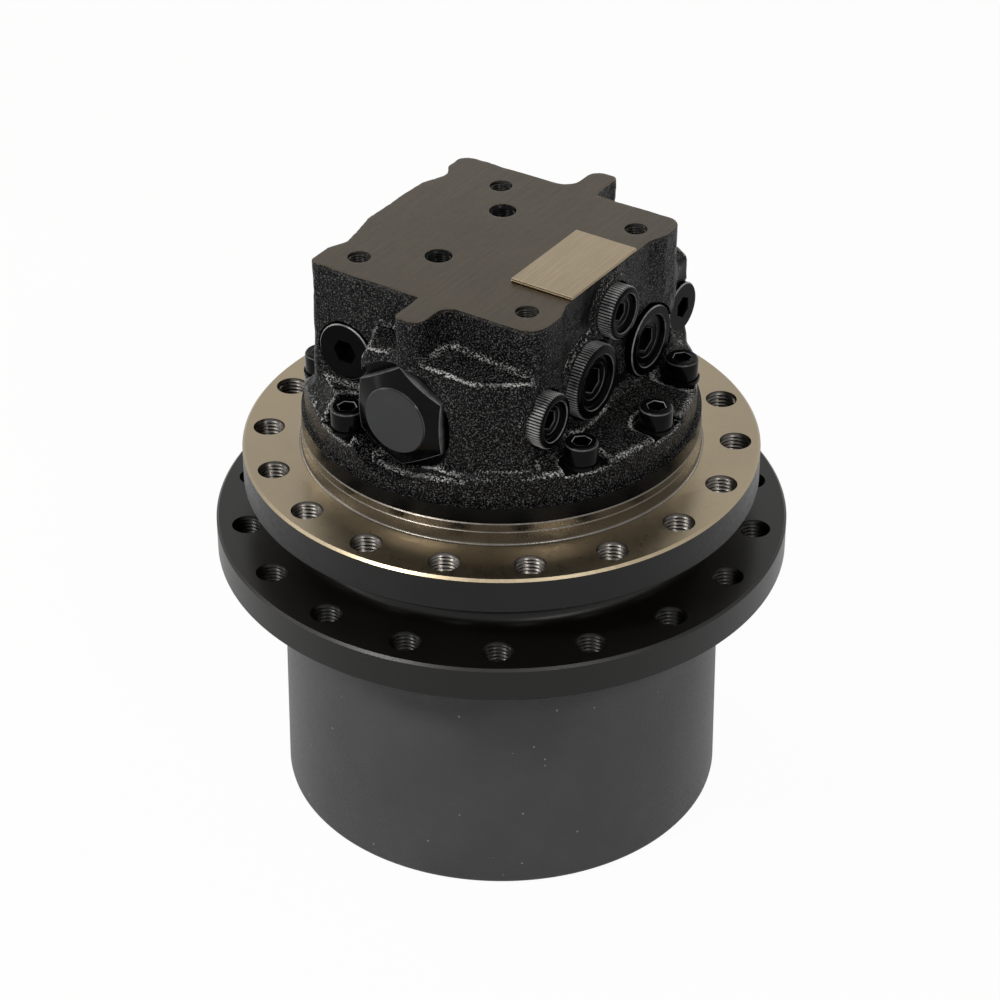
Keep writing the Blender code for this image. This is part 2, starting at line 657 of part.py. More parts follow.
def make_hub_drum(finish):
    """Rotating hub: drum wall, sprocket flange, neck with the seal's seat, and the ring gear cut inside."""
    neck_radius = DRUM_TOP_RADIUS - NECK_STEP
    fillet_centre = (DRUM_TOP_RADIUS + NECK_FILLET, SPROCKET_FLANGE_TOP + NECK_FILLET)
    fillet = [
        (
            fillet_centre[0] - NECK_STEP - NECK_FILLET * math.cos(step * math.pi / 4),
            fillet_centre[1] - NECK_FILLET * math.sin(step * math.pi / 4),
        )
        for step in range(3)
    ]
    cover_bore = RING_ROOT_RADIUS + COVER_LEDGE
    bearing_bore = BEARING_OUTER_RADIUS + GAP
    shoulder_radius = BEARING_OUTER_RADIUS - BEARING_SHOULDER_DEPTH
    neck_bore = SEAL_INNER_RADIUS - RUNNING_GAP
    outside = [
        (DRUM_FOOT_RADIUS - DRUM_EDGE_RADIUS, 0.0),
        (DRUM_FOOT_RADIUS, DRUM_EDGE_RADIUS),
        (DRUM_TOP_RADIUS, SPROCKET_FLANGE_BOTTOM),
        (SPROCKET_FLANGE_RADIUS - FLANGE_CHAMFER, SPROCKET_FLANGE_BOTTOM),
        (SPROCKET_FLANGE_RADIUS, SPROCKET_FLANGE_BOTTOM + FLANGE_CHAMFER),
        (SPROCKET_FLANGE_RADIUS, SPROCKET_FLANGE_TOP - FLANGE_CHAMFER),
        (SPROCKET_FLANGE_RADIUS - FLANGE_CHAMFER, SPROCKET_FLANGE_TOP),
        *reversed(fillet),
        (neck_radius, NECK_TOP),
    ]
    inside = [
        (SEAL_OUTER_RADIUS, NECK_TOP),
        (SEAL_OUTER_RADIUS, NECK_TOP - SEAL_DEPTH),
        (neck_bore, NECK_TOP - SEAL_DEPTH),
        (neck_bore, UPPER_BEARING_BOTTOM + BEARING_WIDTH + GAP),
        (bearing_bore, UPPER_BEARING_BOTTOM + BEARING_WIDTH + GAP),
        (bearing_bore, UPPER_BEARING_BOTTOM - GAP),
        (shoulder_radius, UPPER_BEARING_BOTTOM - GAP),
        (shoulder_radius, HUB_SHOULDER_BOTTOM),
        (bearing_bore, HUB_SHOULDER_BOTTOM),
        (bearing_bore, RING_GEAR_START),
        (cover_bore, RING_GEAR_START),
        (cover_bore, 0.0),
    ]
    drum = place("hub_drum", turned(outside, LARGE_ROUND, inside), finish)
    hollow = gear_outline(RING_TEETH, RING_ROOT_RADIUS, RING_TIP_RADIUS, TOOTH_BACKLASH / 2, 0.0, 0)
    cut(
        drum,
        place("ring_gear_hollow", lofted([(hollow, RING_GEAR_START - OVERRUN), (hollow, RING_GEAR_END)])),
        place(
            "sprocket_bolt_holes",
            flange_holes(
                SPROCKET_BOLT_CIRCLE,
                SPROCKET_FLANGE_BOTTOM - OVERRUN,
                SPROCKET_FLANGE_TOP + OVERRUN,
                SPROCKET_BOLT_PHASE,
            ),
        ),
        place("cover_ring_groove", cover_groove()),
    )


def cover_groove():
    """Groove for the ring that holds the end cover in."""
    inner = RING_ROOT_RADIUS + COVER_LEDGE - OVERRUN
    outer = RING_ROOT_RADIUS + COVER_LEDGE + COVER_RING_BITE + GAP
    return tube(outer, inner, COVER_SEAT_DEPTH - COVER_RING_HEIGHT - 2 * GAP, COVER_SEAT_DEPTH, MEDIUM_ROUND)


def make_spindle(finish):
    """Stationary housing: frame flange, boss for the valve block, bearing stem and motor bore."""
    bearing_hole = SHAFT_RADIUS + SHAFT_BEARING_WALL + GAP
    socket = CARRIER_SPLINE_RADIUS + GAP
    flange = [
        (FRAME_FLANGE_RADIUS - FLANGE_CHAMFER, FRAME_FLANGE_BOTTOM),
        (FRAME_FLANGE_RADIUS, FRAME_FLANGE_BOTTOM + FLANGE_CHAMFER),
        (FRAME_FLANGE_RADIUS, FRAME_FLANGE_TOP - FLANGE_CHAMFER),
        (FRAME_FLANGE_RADIUS - FLANGE_CHAMFER, FRAME_FLANGE_TOP),
        (BOSS_RADIUS, FRAME_FLANGE_TOP),
        (BOSS_RADIUS, BOSS_TOP),
    ]
    inside = [
        (MOTOR_BORE_RADIUS, BOSS_TOP),
        (MOTOR_BORE_RADIUS, MOTOR_FLOOR),
        (bearing_hole, MOTOR_FLOOR),
        (bearing_hole, SPINDLE_BOTTOM),
        (SPINDLE_SEAT_RADIUS, SPINDLE_BOTTOM),
        (SPINDLE_SEAT_RADIUS, SPINDLE_SHOULDER_BOTTOM),
        (SPINDLE_NECK_RADIUS, SPINDLE_SHOULDER_BOTTOM),
        (SPINDLE_NECK_RADIUS, FRAME_FLANGE_BOTTOM + SEAL_DEPTH),
        (SEAL_OUTER_RADIUS, FRAME_FLANGE_BOTTOM + SEAL_DEPTH),
        (SEAL_OUTER_RADIUS, FRAME_FLANGE_BOTTOM),
    ]
    spindle = place("spindle", turned(flange, LARGE_ROUND, inside), finish)
    spline = spline_outline(socket)
    cut(
        spindle,
        place(
            "frame_bolt_holes",
            flange_holes(
                FRAME_BOLT_CIRCLE,
                FRAME_FLANGE_BOTTOM - OVERRUN,
                FRAME_FLANGE_TOP + OVERRUN,
                FRAME_BOLT_PHASE,
            ),
        ),
        place("screw_holes", screw_holes(SCREW_SEAT - SCREW_LENGTH - OVERRUN, BOSS_TOP + OVERRUN)),
        place(
            "carrier_socket",
            lofted([(spline, SPINDLE_BOTTOM - OVERRUN), (spline, SPINDLE_BOTTOM + CARRIER_SOCKET_DEPTH)]),
        ),
    )


def spline_outline(radius):
    """Coarse spline between the output carrier and the spindle."""
    root = radius - CARRIER_SPLINE_TOOTH
    step = math.tau / CARRIER_SPLINE_TEETH
    tooth = (
        (-CARRIER_SPLINE_ROOT_SHARE, root),
        (-CARRIER_SPLINE_TIP_SHARE, radius),
        (CARRIER_SPLINE_TIP_SHARE, radius),
        (CARRIER_SPLINE_ROOT_SHARE, root),
    )
    points = []
    for index in range(CARRIER_SPLINE_TEETH):
        for share, reach in tooth:
            angle = (index + share) * step
            points.append((reach * math.cos(angle), reach * math.sin(angle)))
    return points


def screw_places():
    """Where the cap screws stand, and how each is turned about its axis."""
    places = []
    for angle in SCREW_ANGLES:
        turn = math.radians(angle)
        x = SCREW_CIRCLE_RADIUS * math.cos(turn)
        y = SCREW_CIRCLE_RADIUS * math.sin(turn)
        places.append((x, y, turn + SCREW_TURN))
    return places


def screw_holes(bottom, top):
    """Clearance holes for the shanks of the cap screws, as one cutter mesh."""
    holes = []
    for x, y, turn in screw_places():
        holes.append(moved(disc(SCREW_RADIUS + GAP, bottom, top, PORT_ROUND), x, y, 0, turn))
    return joined(holes)


def make_output_carrier(finish):
    """Second-stage carrier, splined into the spindle, with its three planet pins."""
    radius = SECOND_CENTRE_DISTANCE + SECOND_PIN_RADIUS + CARRIER_RIM
    carrier = place(
        "output_carrier",
        disc(radius, OUTPUT_CARRIER_BOTTOM, OUTPUT_CARRIER_TOP, MEDIUM_ROUND),
        finish,
    )
    spline = spline_outline(CARRIER_SPLINE_RADIUS)
    stub_top = OUTPUT_CARRIER_TOP + CARRIER_SOCKET_DEPTH - GAP
    stub = lofted([(spline, OUTPUT_CARRIER_TOP - BITE), (spline, stub_top)])
    pins = [
        moved(disc(SECOND_PIN_TURNING, SECOND_STAGE_BOTTOM, OUTPUT_CARRIER_BOTTOM + BITE, SMALL_ROUND), x, y)
        for x, y, _ in ring_of(SECOND_CENTRE_DISTANCE, PLANET_COUNT)
    ]
    fuse(carrier, place("carrier_stub", stub), place("carrier_pins", joined(pins)))
    bore = disc(
        SHAFT_RADIUS + SHAFT_ROOM,
        OUTPUT_CARRIER_BOTTOM - OVERRUN,
        OUTPUT_CARRIER_TOP + CARRIER_SOCKET_DEPTH + OVERRUN,
        SMALL_ROUND,
    )
    cut(carrier, place("carrier_bore", bore))


def make_first_carrier(finish):
    """First-stage carrier: a disc with three pins, splined round the second sun gear."""
    radius = FIRST_CENTRE_DISTANCE + FIRST_PIN_RADIUS + CARRIER_RIM
    carrier = place(
        "first_carrier",
        disc(radius, FIRST_CARRIER_BOTTOM, FIRST_CARRIER_TOP, MEDIUM_ROUND),
        finish,
    )
    pins = [
        moved(disc(FIRST_PIN_TURNING, FIRST_STAGE_BOTTOM, FIRST_CARRIER_BOTTOM + BITE, SMALL_ROUND), x, y)
        for x, y, _ in ring_of(FIRST_CENTRE_DISTANCE, PLANET_COUNT)
    ]
    fuse(carrier, place("first_carrier_pins", joined(pins)))
    bore = external_gear(SECOND_SUN_TEETH, SECOND_SUN_PHASE, 0, GAP)
    socket = lofted([(bore, FIRST_CARRIER_BOTTOM - OVERRUN), (bore, FIRST_CARRIER_TOP + OVERRUN)])
    cut(carrier, place("sun_socket", socket))


def gear_with_bore(name, outline, bottom, top, bore_radius, finish, location=(0, 0, 0), turn=0.0):
    """A spur gear as an object with its origin on its own axis."""
    gear = place(name, lofted([(outline, bottom), (outline, top)]), finish, location, (0, 0, turn))
    hole = disc(bore_radius, bottom - OVERRUN, top + OVERRUN, SMALL_ROUND)
    cut(gear, place(f"{name}_bore", hole, None, location, (0, 0, turn)))


def make_planets(finish):
    """Both sets of planet gears, tooth outward to the ring gear's space."""
    first = external_gear(FIRST_PLANET_TEETH, 0.0, 0)
    second = external_gear(SECOND_PLANET_TEETH, 0.0, 0)
    for index, (x, y, angle) in enumerate(ring_of(FIRST_CENTRE_DISTANCE, PLANET_COUNT), 1):
        name = f"first_planet_{index}"
        span = (FIRST_STAGE_BOTTOM, FIRST_STAGE_TOP)
        gear_with_bore(name, first, *span, FIRST_PIN_RADIUS, finish, (x, y, 0), angle)
    for index, (x, y, angle) in enumerate(ring_of(SECOND_CENTRE_DISTANCE, PLANET_COUNT), 1):
        name = f"second_planet_{index}"
        span = (SECOND_STAGE_BOTTOM, SECOND_STAGE_TOP)
        gear_with_bore(name, second, *span, SECOND_PIN_RADIUS, finish, (x, y, 0), angle)


def make_suns(finish):
    """First sun gear on its long shaft, and the second sun gear, which the shaft passes through."""
    first = external_gear(FIRST_SUN_TEETH, FIRST_SUN_PHASE)
    sun = place("first_sun_shaft", lofted([(first, FIRST_STAGE_BOTTOM), (first, FIRST_STAGE_TOP)]), finish)
    shaft_top = SHAFT_BOTTOM + COUPLING_DEPTH - GAP
    fuse(sun, place("sun_stem", disc(SUN_SHAFT_RADIUS - GAP, FIRST_STAGE_TOP - BITE, shaft_top, SMALL_ROUND)))
    second = external_gear(SECOND_SUN_TEETH, SECOND_SUN_PHASE, 0)
    bore = SUN_SHAFT_RADIUS + SUN_SHAFT_ROOM
    gear_with_bore("second_sun_gear", second, FIRST_CARRIER_BOTTOM, SECOND_STAGE_TOP, bore, finish)


def make_motor_shaft(finish):
    """Motor shaft with a socket for the sun shaft below and a bearing journal above."""
    journal_bottom = CYLINDER_BLOCK_TOP
    journal_top = SPIGOT_BOTTOM + SHAFT_JOURNAL_LENGTH
    profile = [
        (0.0, SHAFT_BOTTOM + COUPLING_DEPTH),
        (SUN_SHAFT_RADIUS, SHAFT_BOTTOM + COUPLING_DEPTH),
        (SUN_SHAFT_RADIUS, SHAFT_BOTTOM),
        (SHAFT_RADIUS, SHAFT_BOTTOM),
        (SHAFT_RADIUS, journal_bottom),
        (SHAFT_JOURNAL_RADIUS, journal_bottom),
        (SHAFT_JOURNAL_RADIUS, journal_top),
        (0.0, journal_top),
    ]
    place("motor_shaft", turned(profile, SMALL_ROUND), finish)


def make_cylinder_block(finish):
    """Cylinder block with its pistons at their inner stroke and a port above each."""
    bottom = CYLINDER_BLOCK_BOTTOM
    top = CYLINDER_BLOCK_TOP
    bore = SHAFT_RADIUS + 2 * GAP
    block = place("cylinder_block", tube(CYLINDER_BLOCK_RADIUS, bore, bottom, top, MEDIUM_ROUND), finish)
    pistons = []
    ports = []
    for x, y, _ in ring_of(PISTON_CIRCLE_RADIUS, PISTON_COUNT):
        pistons.append(moved(disc(PISTON_RADIUS, bottom - PISTON_REACH, bottom + BITE, TINY_ROUND), x, y))
        ports.append(moved(disc(PORT_HOLE_RADIUS, top - PORT_DEPTH, top + OVERRUN, PORT_ROUND), x, y))
    fuse(block, place("pistons", joined(pistons)))
    cut(block, place("cylinder_ports", joined(ports)))


def make_shoe_plate(finish):
    """Retainer plate with the piston shoes, lying on the swash plate and turning about its normal."""
    outer = PISTON_CIRCLE_RADIUS + SHOE_RADIUS + SHOE_PLATE_RIM
    inner = SHAFT_RADIUS + SHOE_PLATE_ROOM
    plate = place(
        "shoe_plate",
        tube(outer, inner, SHOE_HEIGHT / 2, SHOE_HEIGHT / 2 + SHOE_PLATE_THICKNESS, MEDIUM_ROUND),
        finish,
        (0, 0, SWASH_MIDDLE + GAP / math.cos(SWASH_ANGLE)),
        (SWASH_ANGLE, 0, 0),
    )
    shoes = [
        moved(disc(SHOE_RADIUS, 0.0, SHOE_HEIGHT, TINY_ROUND), x, y)
        for x, y, _ in ring_of(PISTON_CIRCLE_RADIUS, PISTON_COUNT)
    ]
    fuse(plate, place("piston_shoes", joined(shoes), None, plate.location, plate.rotation_euler))


def make_swash_plate(finish):
    """Wedge that the shoes slide on, seated on the spindle's web."""
    outline = circle(SWASH_RADIUS, MEDIUM_ROUND)
    inner = circle(SHAFT_RADIUS + SHAFT_ROOM, SMALL_ROUND)
    wedge = bmesh.new()
    lower = [wedge.verts.new((x, y, MOTOR_FLOOR + GAP)) for x, y in outline]
    upper = [wedge.verts.new((x, y, SWASH_MIDDLE + y * math.tan(SWASH_ANGLE))) for x, y in outline]
    for index in range(len(outline)):
        after = (index + 1) % len(outline)
        wedge.faces.new((lower[index], lower[after], upper[after], upper[index]))
    wedge.faces.new(list(reversed(lower)))
    wedge.faces.new(upper)
    plate = place("swash_plate", mesh_from(wedge), finish)
    bore = lofted([(inner, MOTOR_FLOOR - OVERRUN), (inner, SWASH_MIDDLE + SWASH_RADIUS)])
    cut(plate, place("swash_bore", bore))


def make_valve_plate(finish):
    """Port plate between cylinder block and valve block, with its two kidney ports."""
    bore = SHAFT_RADIUS + SHAFT_ROOM
    plate = place(
        "valve_plate",
        tube(CYLINDER_BLOCK_RADIUS, bore, VALVE_PLATE_BOTTOM, VALVE_PLATE_TOP, MEDIUM_ROUND),
        finish,
    )
    kidneys = []
    for start in KIDNEY_STARTS:
        end = start + KIDNEY_SWEEP
        outline = arc(PISTON_CIRCLE_RADIUS + PORT_HOLE_RADIUS, start, end, KIDNEY_STEPS)
        outline += arc(PISTON_CIRCLE_RADIUS - PORT_HOLE_RADIUS, end, start, KIDNEY_STEPS)
        kidneys.append(lofted([(outline, VALVE_PLATE_BOTTOM - BITE), (outline, VALVE_PLATE_TOP + BITE)]))
    cut(plate, place("kidney_ports", joined(kidneys)))


def make_brake(steel, friction, spring_steel):
    """Wet parking brake: friction disc between two steel plates, piston over them, coned spring on top."""
    inner = MOTOR_BORE_RADIUS - BRAKE_DISC_WIDTH
    top = BRAKE_STACK_TOP
    upper_plate = tube(BRAKE_OUTER_RADIUS, inner, top - BRAKE_PLATE_THICKNESS, top, MEDIUM_ROUND)
    place("brake_plate_upper", upper_plate, steel)
    top -= BRAKE_PLATE_THICKNESS + GAP
    disc_outer = MOTOR_BORE_RADIUS - BRAKE_OUTER_ROOM
    place(
        "friction_disc",
        tube(disc_outer, CYLINDER_BLOCK_RADIUS + GAP, top - BRAKE_PLATE_THICKNESS, top, MEDIUM_ROUND),
        friction,
    )
    top -= BRAKE_PLATE_THICKNESS + GAP
    lower_plate = tube(BRAKE_OUTER_RADIUS, inner, top - BRAKE_PLATE_THICKNESS, top, MEDIUM_ROUND)
    place("brake_plate_lower", lower_plate, steel)
    place(
        "brake_piston",
        tube(BRAKE_OUTER_RADIUS, inner, BRAKE_PISTON_BOTTOM, BRAKE_PISTON_TOP, MEDIUM_ROUND),
        steel,
    )
    outer = BRAKE_OUTER_RADIUS - GAP
    cone = [
        (inner, BRAKE_SPRING_TOP - BRAKE_SPRING_PLATE),
        (outer, BRAKE_SPRING_BOTTOM),
        (outer, BRAKE_SPRING_BOTTOM + BRAKE_SPRING_PLATE),
        (inner, BRAKE_SPRING_TOP),
    ]
    place("brake_spring", turned(cone, MEDIUM_ROUND), spring_steel)


def make_shaft_bearings(finish):
    """Needle bearing in the spindle's web and bearing in the valve block."""
    place(
        "shaft_bearing_lower",
        tube(
            SHAFT_RADIUS + SHAFT_BEARING_WALL,
            SHAFT_BEARING_BORE,
            SPINDLE_BOTTOM + CARRIER_SOCKET_DEPTH + GAP,
            MOTOR_FLOOR,
            MEDIUM_ROUND,
        ),
        finish,
    )
    place(
        "shaft_bearing_upper",
        tube(
            SHAFT_JOURNAL_RADIUS + SHAFT_BEARING_WALL,
            JOURNAL_BEARING_BORE,
            SPIGOT_BOTTOM + BITE,
            SPIGOT_BOTTOM + SHAFT_JOURNAL_LENGTH - BITE,
            SMALL_ROUND,
        ),
        finish,
    )


def bearing_ring(inward, bottom):
    """Profile of one ring of an angular contact ball bearing, its raceway hollow facing the balls."""
    top = bottom + BEARING_WIDTH
    middle = bottom + BEARING_WIDTH / 2
    if inward:
        seat = BEARING_BORE_RADIUS
        face = seat + BEARING_RING
        track = face - BALL_TRACK_DEPTH
        return [(seat, bottom), (face, bottom), (track, middle), (face, top), (seat, top)]
    seat = BEARING_OUTER_RADIUS
    face = seat - BEARING_RING
    track = face + BALL_TRACK_DEPTH
    return [(face, bottom), (seat, bottom), (seat, top), (face, top), (track, middle)]


def make_main_bearings(finish, cage_finish):
    """The two main ball bearings between spindle and hub, each with rings and a caged ball set."""
    for level, bottom in (("lower", LOWER_BEARING_BOTTOM), ("upper", UPPER_BEARING_BOTTOM)):
        place(f"bearing_inner_{level}", turned(bearing_ring(True, bottom), MEDIUM_ROUND), finish)
        place(f"bearing_outer_{level}", turned(bearing_ring(False, bottom), MEDIUM_ROUND), finish)
        middle = bottom + BEARING_WIDTH / 2
        cage = place(
            f"ball_cage_{level}",
            tube(
                BALL_CIRCLE_RADIUS + CAGE_THICKNESS / 2,
                BALL_CIRCLE_RADIUS - CAGE_THICKNESS / 2,
                middle - CAGE_HEIGHT / 2,
                middle + CAGE_HEIGHT / 2,
                BALL_COUNT,
            ),
            cage_finish,
        )
        balls = []
        for x, y, angle in ring_of(BALL_CIRCLE_RADIUS, BALL_COUNT):
            balls.append(moved(ball(BALL_RADIUS), x, y, middle, angle))
        fuse(cage, place(f"balls_{level}", joined(balls)))


def ball(radius):
    """Ball of few facets."""
    shape = bmesh.new()
    bmesh.ops.create_icosphere(shape, subdivisions=1, radius=radius)
    return mesh_from(shape)


def make_bearing_nut(finish):
    """Slotted ring nut that preloads the main bearings."""
    outer = SPINDLE_SEAT_RADIUS + NUT_WALL
    top = NUT_BOTTOM + NUT_HEIGHT
    nut = place("bearing_nut", tube(outer, SPINDLE_SEAT_RADIUS + GAP, NUT_BOTTOM, top, MEDIUM_ROUND), finish)
    half = NUT_NOTCH / 2
    outline = [(-NUT_NOTCH_DEPTH, -half), (NUT_NOTCH, -half), (NUT_NOTCH, half), (-NUT_NOTCH_DEPTH, half)]
    slots = []
    for x, y, angle in ring_of(outer, NUT_NOTCH_COUNT, math.pi / NUT_NOTCH_COUNT):
        slots.append(moved(lofted([(outline, NUT_BOTTOM - BITE), (outline, top + BITE)]), x, y, 0, angle))
    cut(nut, place("nut_slots", joined(slots)))


def make_floating_seal(metal, rubber):
    """Face seal: two metal rings running face to face, each carried by a rubber ring in its seat."""
    middle = (NECK_TOP + FRAME_FLANGE_BOTTOM) / 2
    inner = SEAL_INNER_RADIUS + SEAL_RING_BORE_ROOM
    outer = SEAL_OUTER_RADIUS - SEAL_RING_EDGE_ROOM
    waist = inner + SEAL_RING_WALL
    toric_inner = waist + GAP
    toric_outer = SEAL_OUTER_RADIUS - GAP
    toric_centre = (toric_inner + toric_outer) / 2
    hub_seat = NECK_TOP - SEAL_DEPTH
    frame_seat = FRAME_FLANGE_BOTTOM + SEAL_DEPTH
    for side, sign, seat in (("hub", -1, hub_seat), ("frame", 1, frame_seat)):
        face = middle + sign * GAP / 2
        back = seat - sign * RUNNING_GAP
        metal_ring = [
            (inner, face),
            (outer, face),
            (outer, face + sign * SEAL_FACE_THICKNESS),
            (waist, face + sign * SEAL_FACE_BACK),
            (waist, back),
            (inner, back),
        ]
        place(f"seal_ring_{side}", turned(metal_ring, MEDIUM_ROUND), metal)
        front = face + sign * (SEAL_FACE_BACK + GAP)
        level = (front + back) / 2
        toric = [(toric_inner, level), (toric_centre, back), (toric_outer, level), (toric_centre, front)]
        place(f"seal_rubber_{side}", turned(toric, MEDIUM_ROUND), rubber)


def make_end_cover(finish, ring_finish, rubber):
    """End cover of the drum with its O-ring, and the open ring that locks it in the drum."""
    bore = RING_ROOT_RADIUS + COVER_LEDGE
    edge = bore - GAP
    groove_bottom = COVER_SEAT_DEPTH + O_RING_HEIGHT
    groove_top = groove_bottom + O_RING_SECTION + 2 * GAP
    groove_floor = bore - O_RING_SECTION - 2 * GAP
    seat = RING_GEAR_START - GAP
    inside = COVER_SEAT_DEPTH + COVER_THICKNESS
    crown = bore - COVER_RING_WIDTH - COVER_LIP
    profile = [
        (0.0, COVER_SEAT_DEPTH - COVER_CROWN),
        (crown, COVER_SEAT_DEPTH - COVER_CROWN),
        (crown + COVER_CROWN, COVER_SEAT_DEPTH),
        (edge, COVER_SEAT_DEPTH),
        (edge, groove_bottom),
        (groove_floor, groove_bottom),
        (groove_floor, groove_top),
        (edge, groove_top),
        (edge, seat),
        (edge - COVER_LIP, seat),
        (edge - COVER_LIP, inside),
        (0.0, inside),
    ]
    cover = place("end_cover", turned(profile, MEDIUM_ROUND), finish)
    face = COVER_SEAT_DEPTH - COVER_CROWN
    holes = []
    for index, (x, y, _) in enumerate(ring_of(OIL_PLUG_OFFSET, 2, 0.0), 1):
        holes.append(moved(disc(OIL_PLUG_RADIUS + GAP, face - OVERRUN, inside + OVERRUN, SMALL_ROUND), x, y))
        make_oil_plug(f"oil_plug_{index}", x, y, face, ring_finish)
    cut(cover, place("oil_holes", joined(holes)))
    outer = bore + COVER_RING_BITE
    outline = circle(outer, MEDIUM_ROUND)[1:] + circle(outer - COVER_RING_WIDTH, MEDIUM_ROUND)[:0:-1]
    ring_top = COVER_SEAT_DEPTH - GAP
    locking_ring = lofted([(outline, ring_top - COVER_RING_HEIGHT), (outline, ring_top)])
    place("cover_retaining_ring", locking_ring, ring_finish)
    middle = (groove_bottom + groove_top) / 2
    centre = bore - GAP - O_RING_SECTION / 2
    section = circle(O_RING_SECTION / 2, 4, 0.0, (centre, middle))
    place("cover_o_ring", turned(section, MEDIUM_ROUND), rubber)


def make_oil_plug(name, x, y, face, finish):
    """Flanged hex-socket plug in the end cover, its head below the cover's face."""
    head = face - GAP - OIL_PLUG_HEAD
    profile = [
        (0.0, head),
        (OIL_PLUG_FLANGE - OIL_PLUG_EDGE, head),
        (OIL_PLUG_FLANGE, head + OIL_PLUG_EDGE),
        (OIL_PLUG_FLANGE, face - GAP),
        (OIL_PLUG_RADIUS, face - GAP),
        (OIL_PLUG_RADIUS, face + OIL_PLUG_SHANK),
        (0.0, face + OIL_PLUG_SHANK),
    ]
    plug = place(name, moved(turned(profile, SMALL_ROUND), x, y), finish)
    socket = hexagon(OIL_PLUG_RADIUS)
    hole = lofted([(socket, head - OVERRUN), (socket, face + OIL_PLUG_SOCKET_DEPTH)])
    cut(plug, place(f"{name}_socket", moved(hole, x, y)))


def plug_frame(face, across, height, out):
    """Place and outward direction of a plug on one of the casting's faces."""
    z = BLOCK_BOTTOM + height
    if face == "right":
        return (BLOCK_RIGHT_WAIST + out, across, z), (1, 0, 0)
    return (across, -BLOCK_FRONT - out, z), (0, -1, 0)


def plug_facets(style):
    return MEDIUM_ROUND if style == "knurled" else SMALL_ROUND


def make_plug(name, face, across, height, radius, head, style, depth, finish):
    """Screw plug with a hexagon socket, seated in its spotface."""
    location, outward = plug_frame(face, across, height, GAP - depth)
    shank = radius * PLUG_SHANK_SHARE
    profile = [
        (0.0, -PLUG_SHANK_LENGTH),
        (shank, -PLUG_SHANK_LENGTH),
        (shank, 0.0),
        (radius, 0.0),
        (radius, head - PLUG_EDGE),
        (radius - PLUG_EDGE, head),
        (0.0, head),
    ]
    plug = place(name, along(turned(profile, plug_facets(style)), outward, location), finish)
    socket = hexagon(radius * PLUG_SOCKET_SHARE, math.pi / 6)
    hole = lofted([(socket, -PLUG_SHANK_LENGTH / 2), (socket, head + OVERRUN)])
    cut(plug, place(f"{name}_socket", along(hole, outward, location)))


def block_outline():
    """Outline of the machined top face, which the casting's upper body follows: corner lobes, a narrow
    tab to the front and one to the back."""
    left = -BLOCK_LEFT
    right = BLOCK_RIGHT
    waist = BLOCK_RIGHT_WAIST
    tab_left = TAB_OFFSET - TAB_WIDTH / 2
    tab_right = TAB_OFFSET + TAB_WIDTH / 2
    front = -BLOCK_FRONT
    back = BLOCK_BACK
    return rounded(
        [
            (left, front, TIGHT_CORNER),
            (tab_left, front, TAB_ROOT),
            (tab_left, front - TAB_REACH, TAB_NARROW_CORNER),
            (tab_right, front - TAB_REACH, TAB_CORNER),
            (tab_right, front, TAB_FILLET),
            (right, front, FRONT_RIGHT_CORNER),
            (right, front + RIGHT_FRONT_LOBE, SOFT_CORNER),
            (waist, front + RIGHT_FRONT_WAIST, WAIST_CORNER),
            (waist, back - RIGHT_BACK_WAIST, WAIST_CORNER),
            (right, back - RIGHT_BACK_LOBE, SOFT_CORNER),
            (right, back, BACK_RIGHT_CORNER),
            (tab_right, back, TAB_ROOT),
            (tab_right, back + TAB_REACH, TAB_NARROW_CORNER),
            (tab_left, back + TAB_REACH, TAB_CORNER),
            (tab_left, back, TAB_FILLET),
            (left, back, SOFT_CORNER),
            (left, back - LEFT_BACK_LOBE, TIGHT_CORNER),
            (left + LEFT_BACK_NOTCH_DEPTH, back - LEFT_BACK_NOTCH, SOFT_CORNER),
            (left - LEFT_BULGE, back - LEFT_BACK_BULGE, HOLLOW_CORNER),
            (left - LEFT_BULGE, front + LEFT_FRONT_BULGE, HOLLOW_CORNER),
            (left + LEFT_FRONT_NOTCH_DEPTH, front + LEFT_FRONT_NOTCH, SOFT_CORNER),
            (left, front + LEFT_FRONT_LOBE, TIGHT_CORNER),
        ]
    )


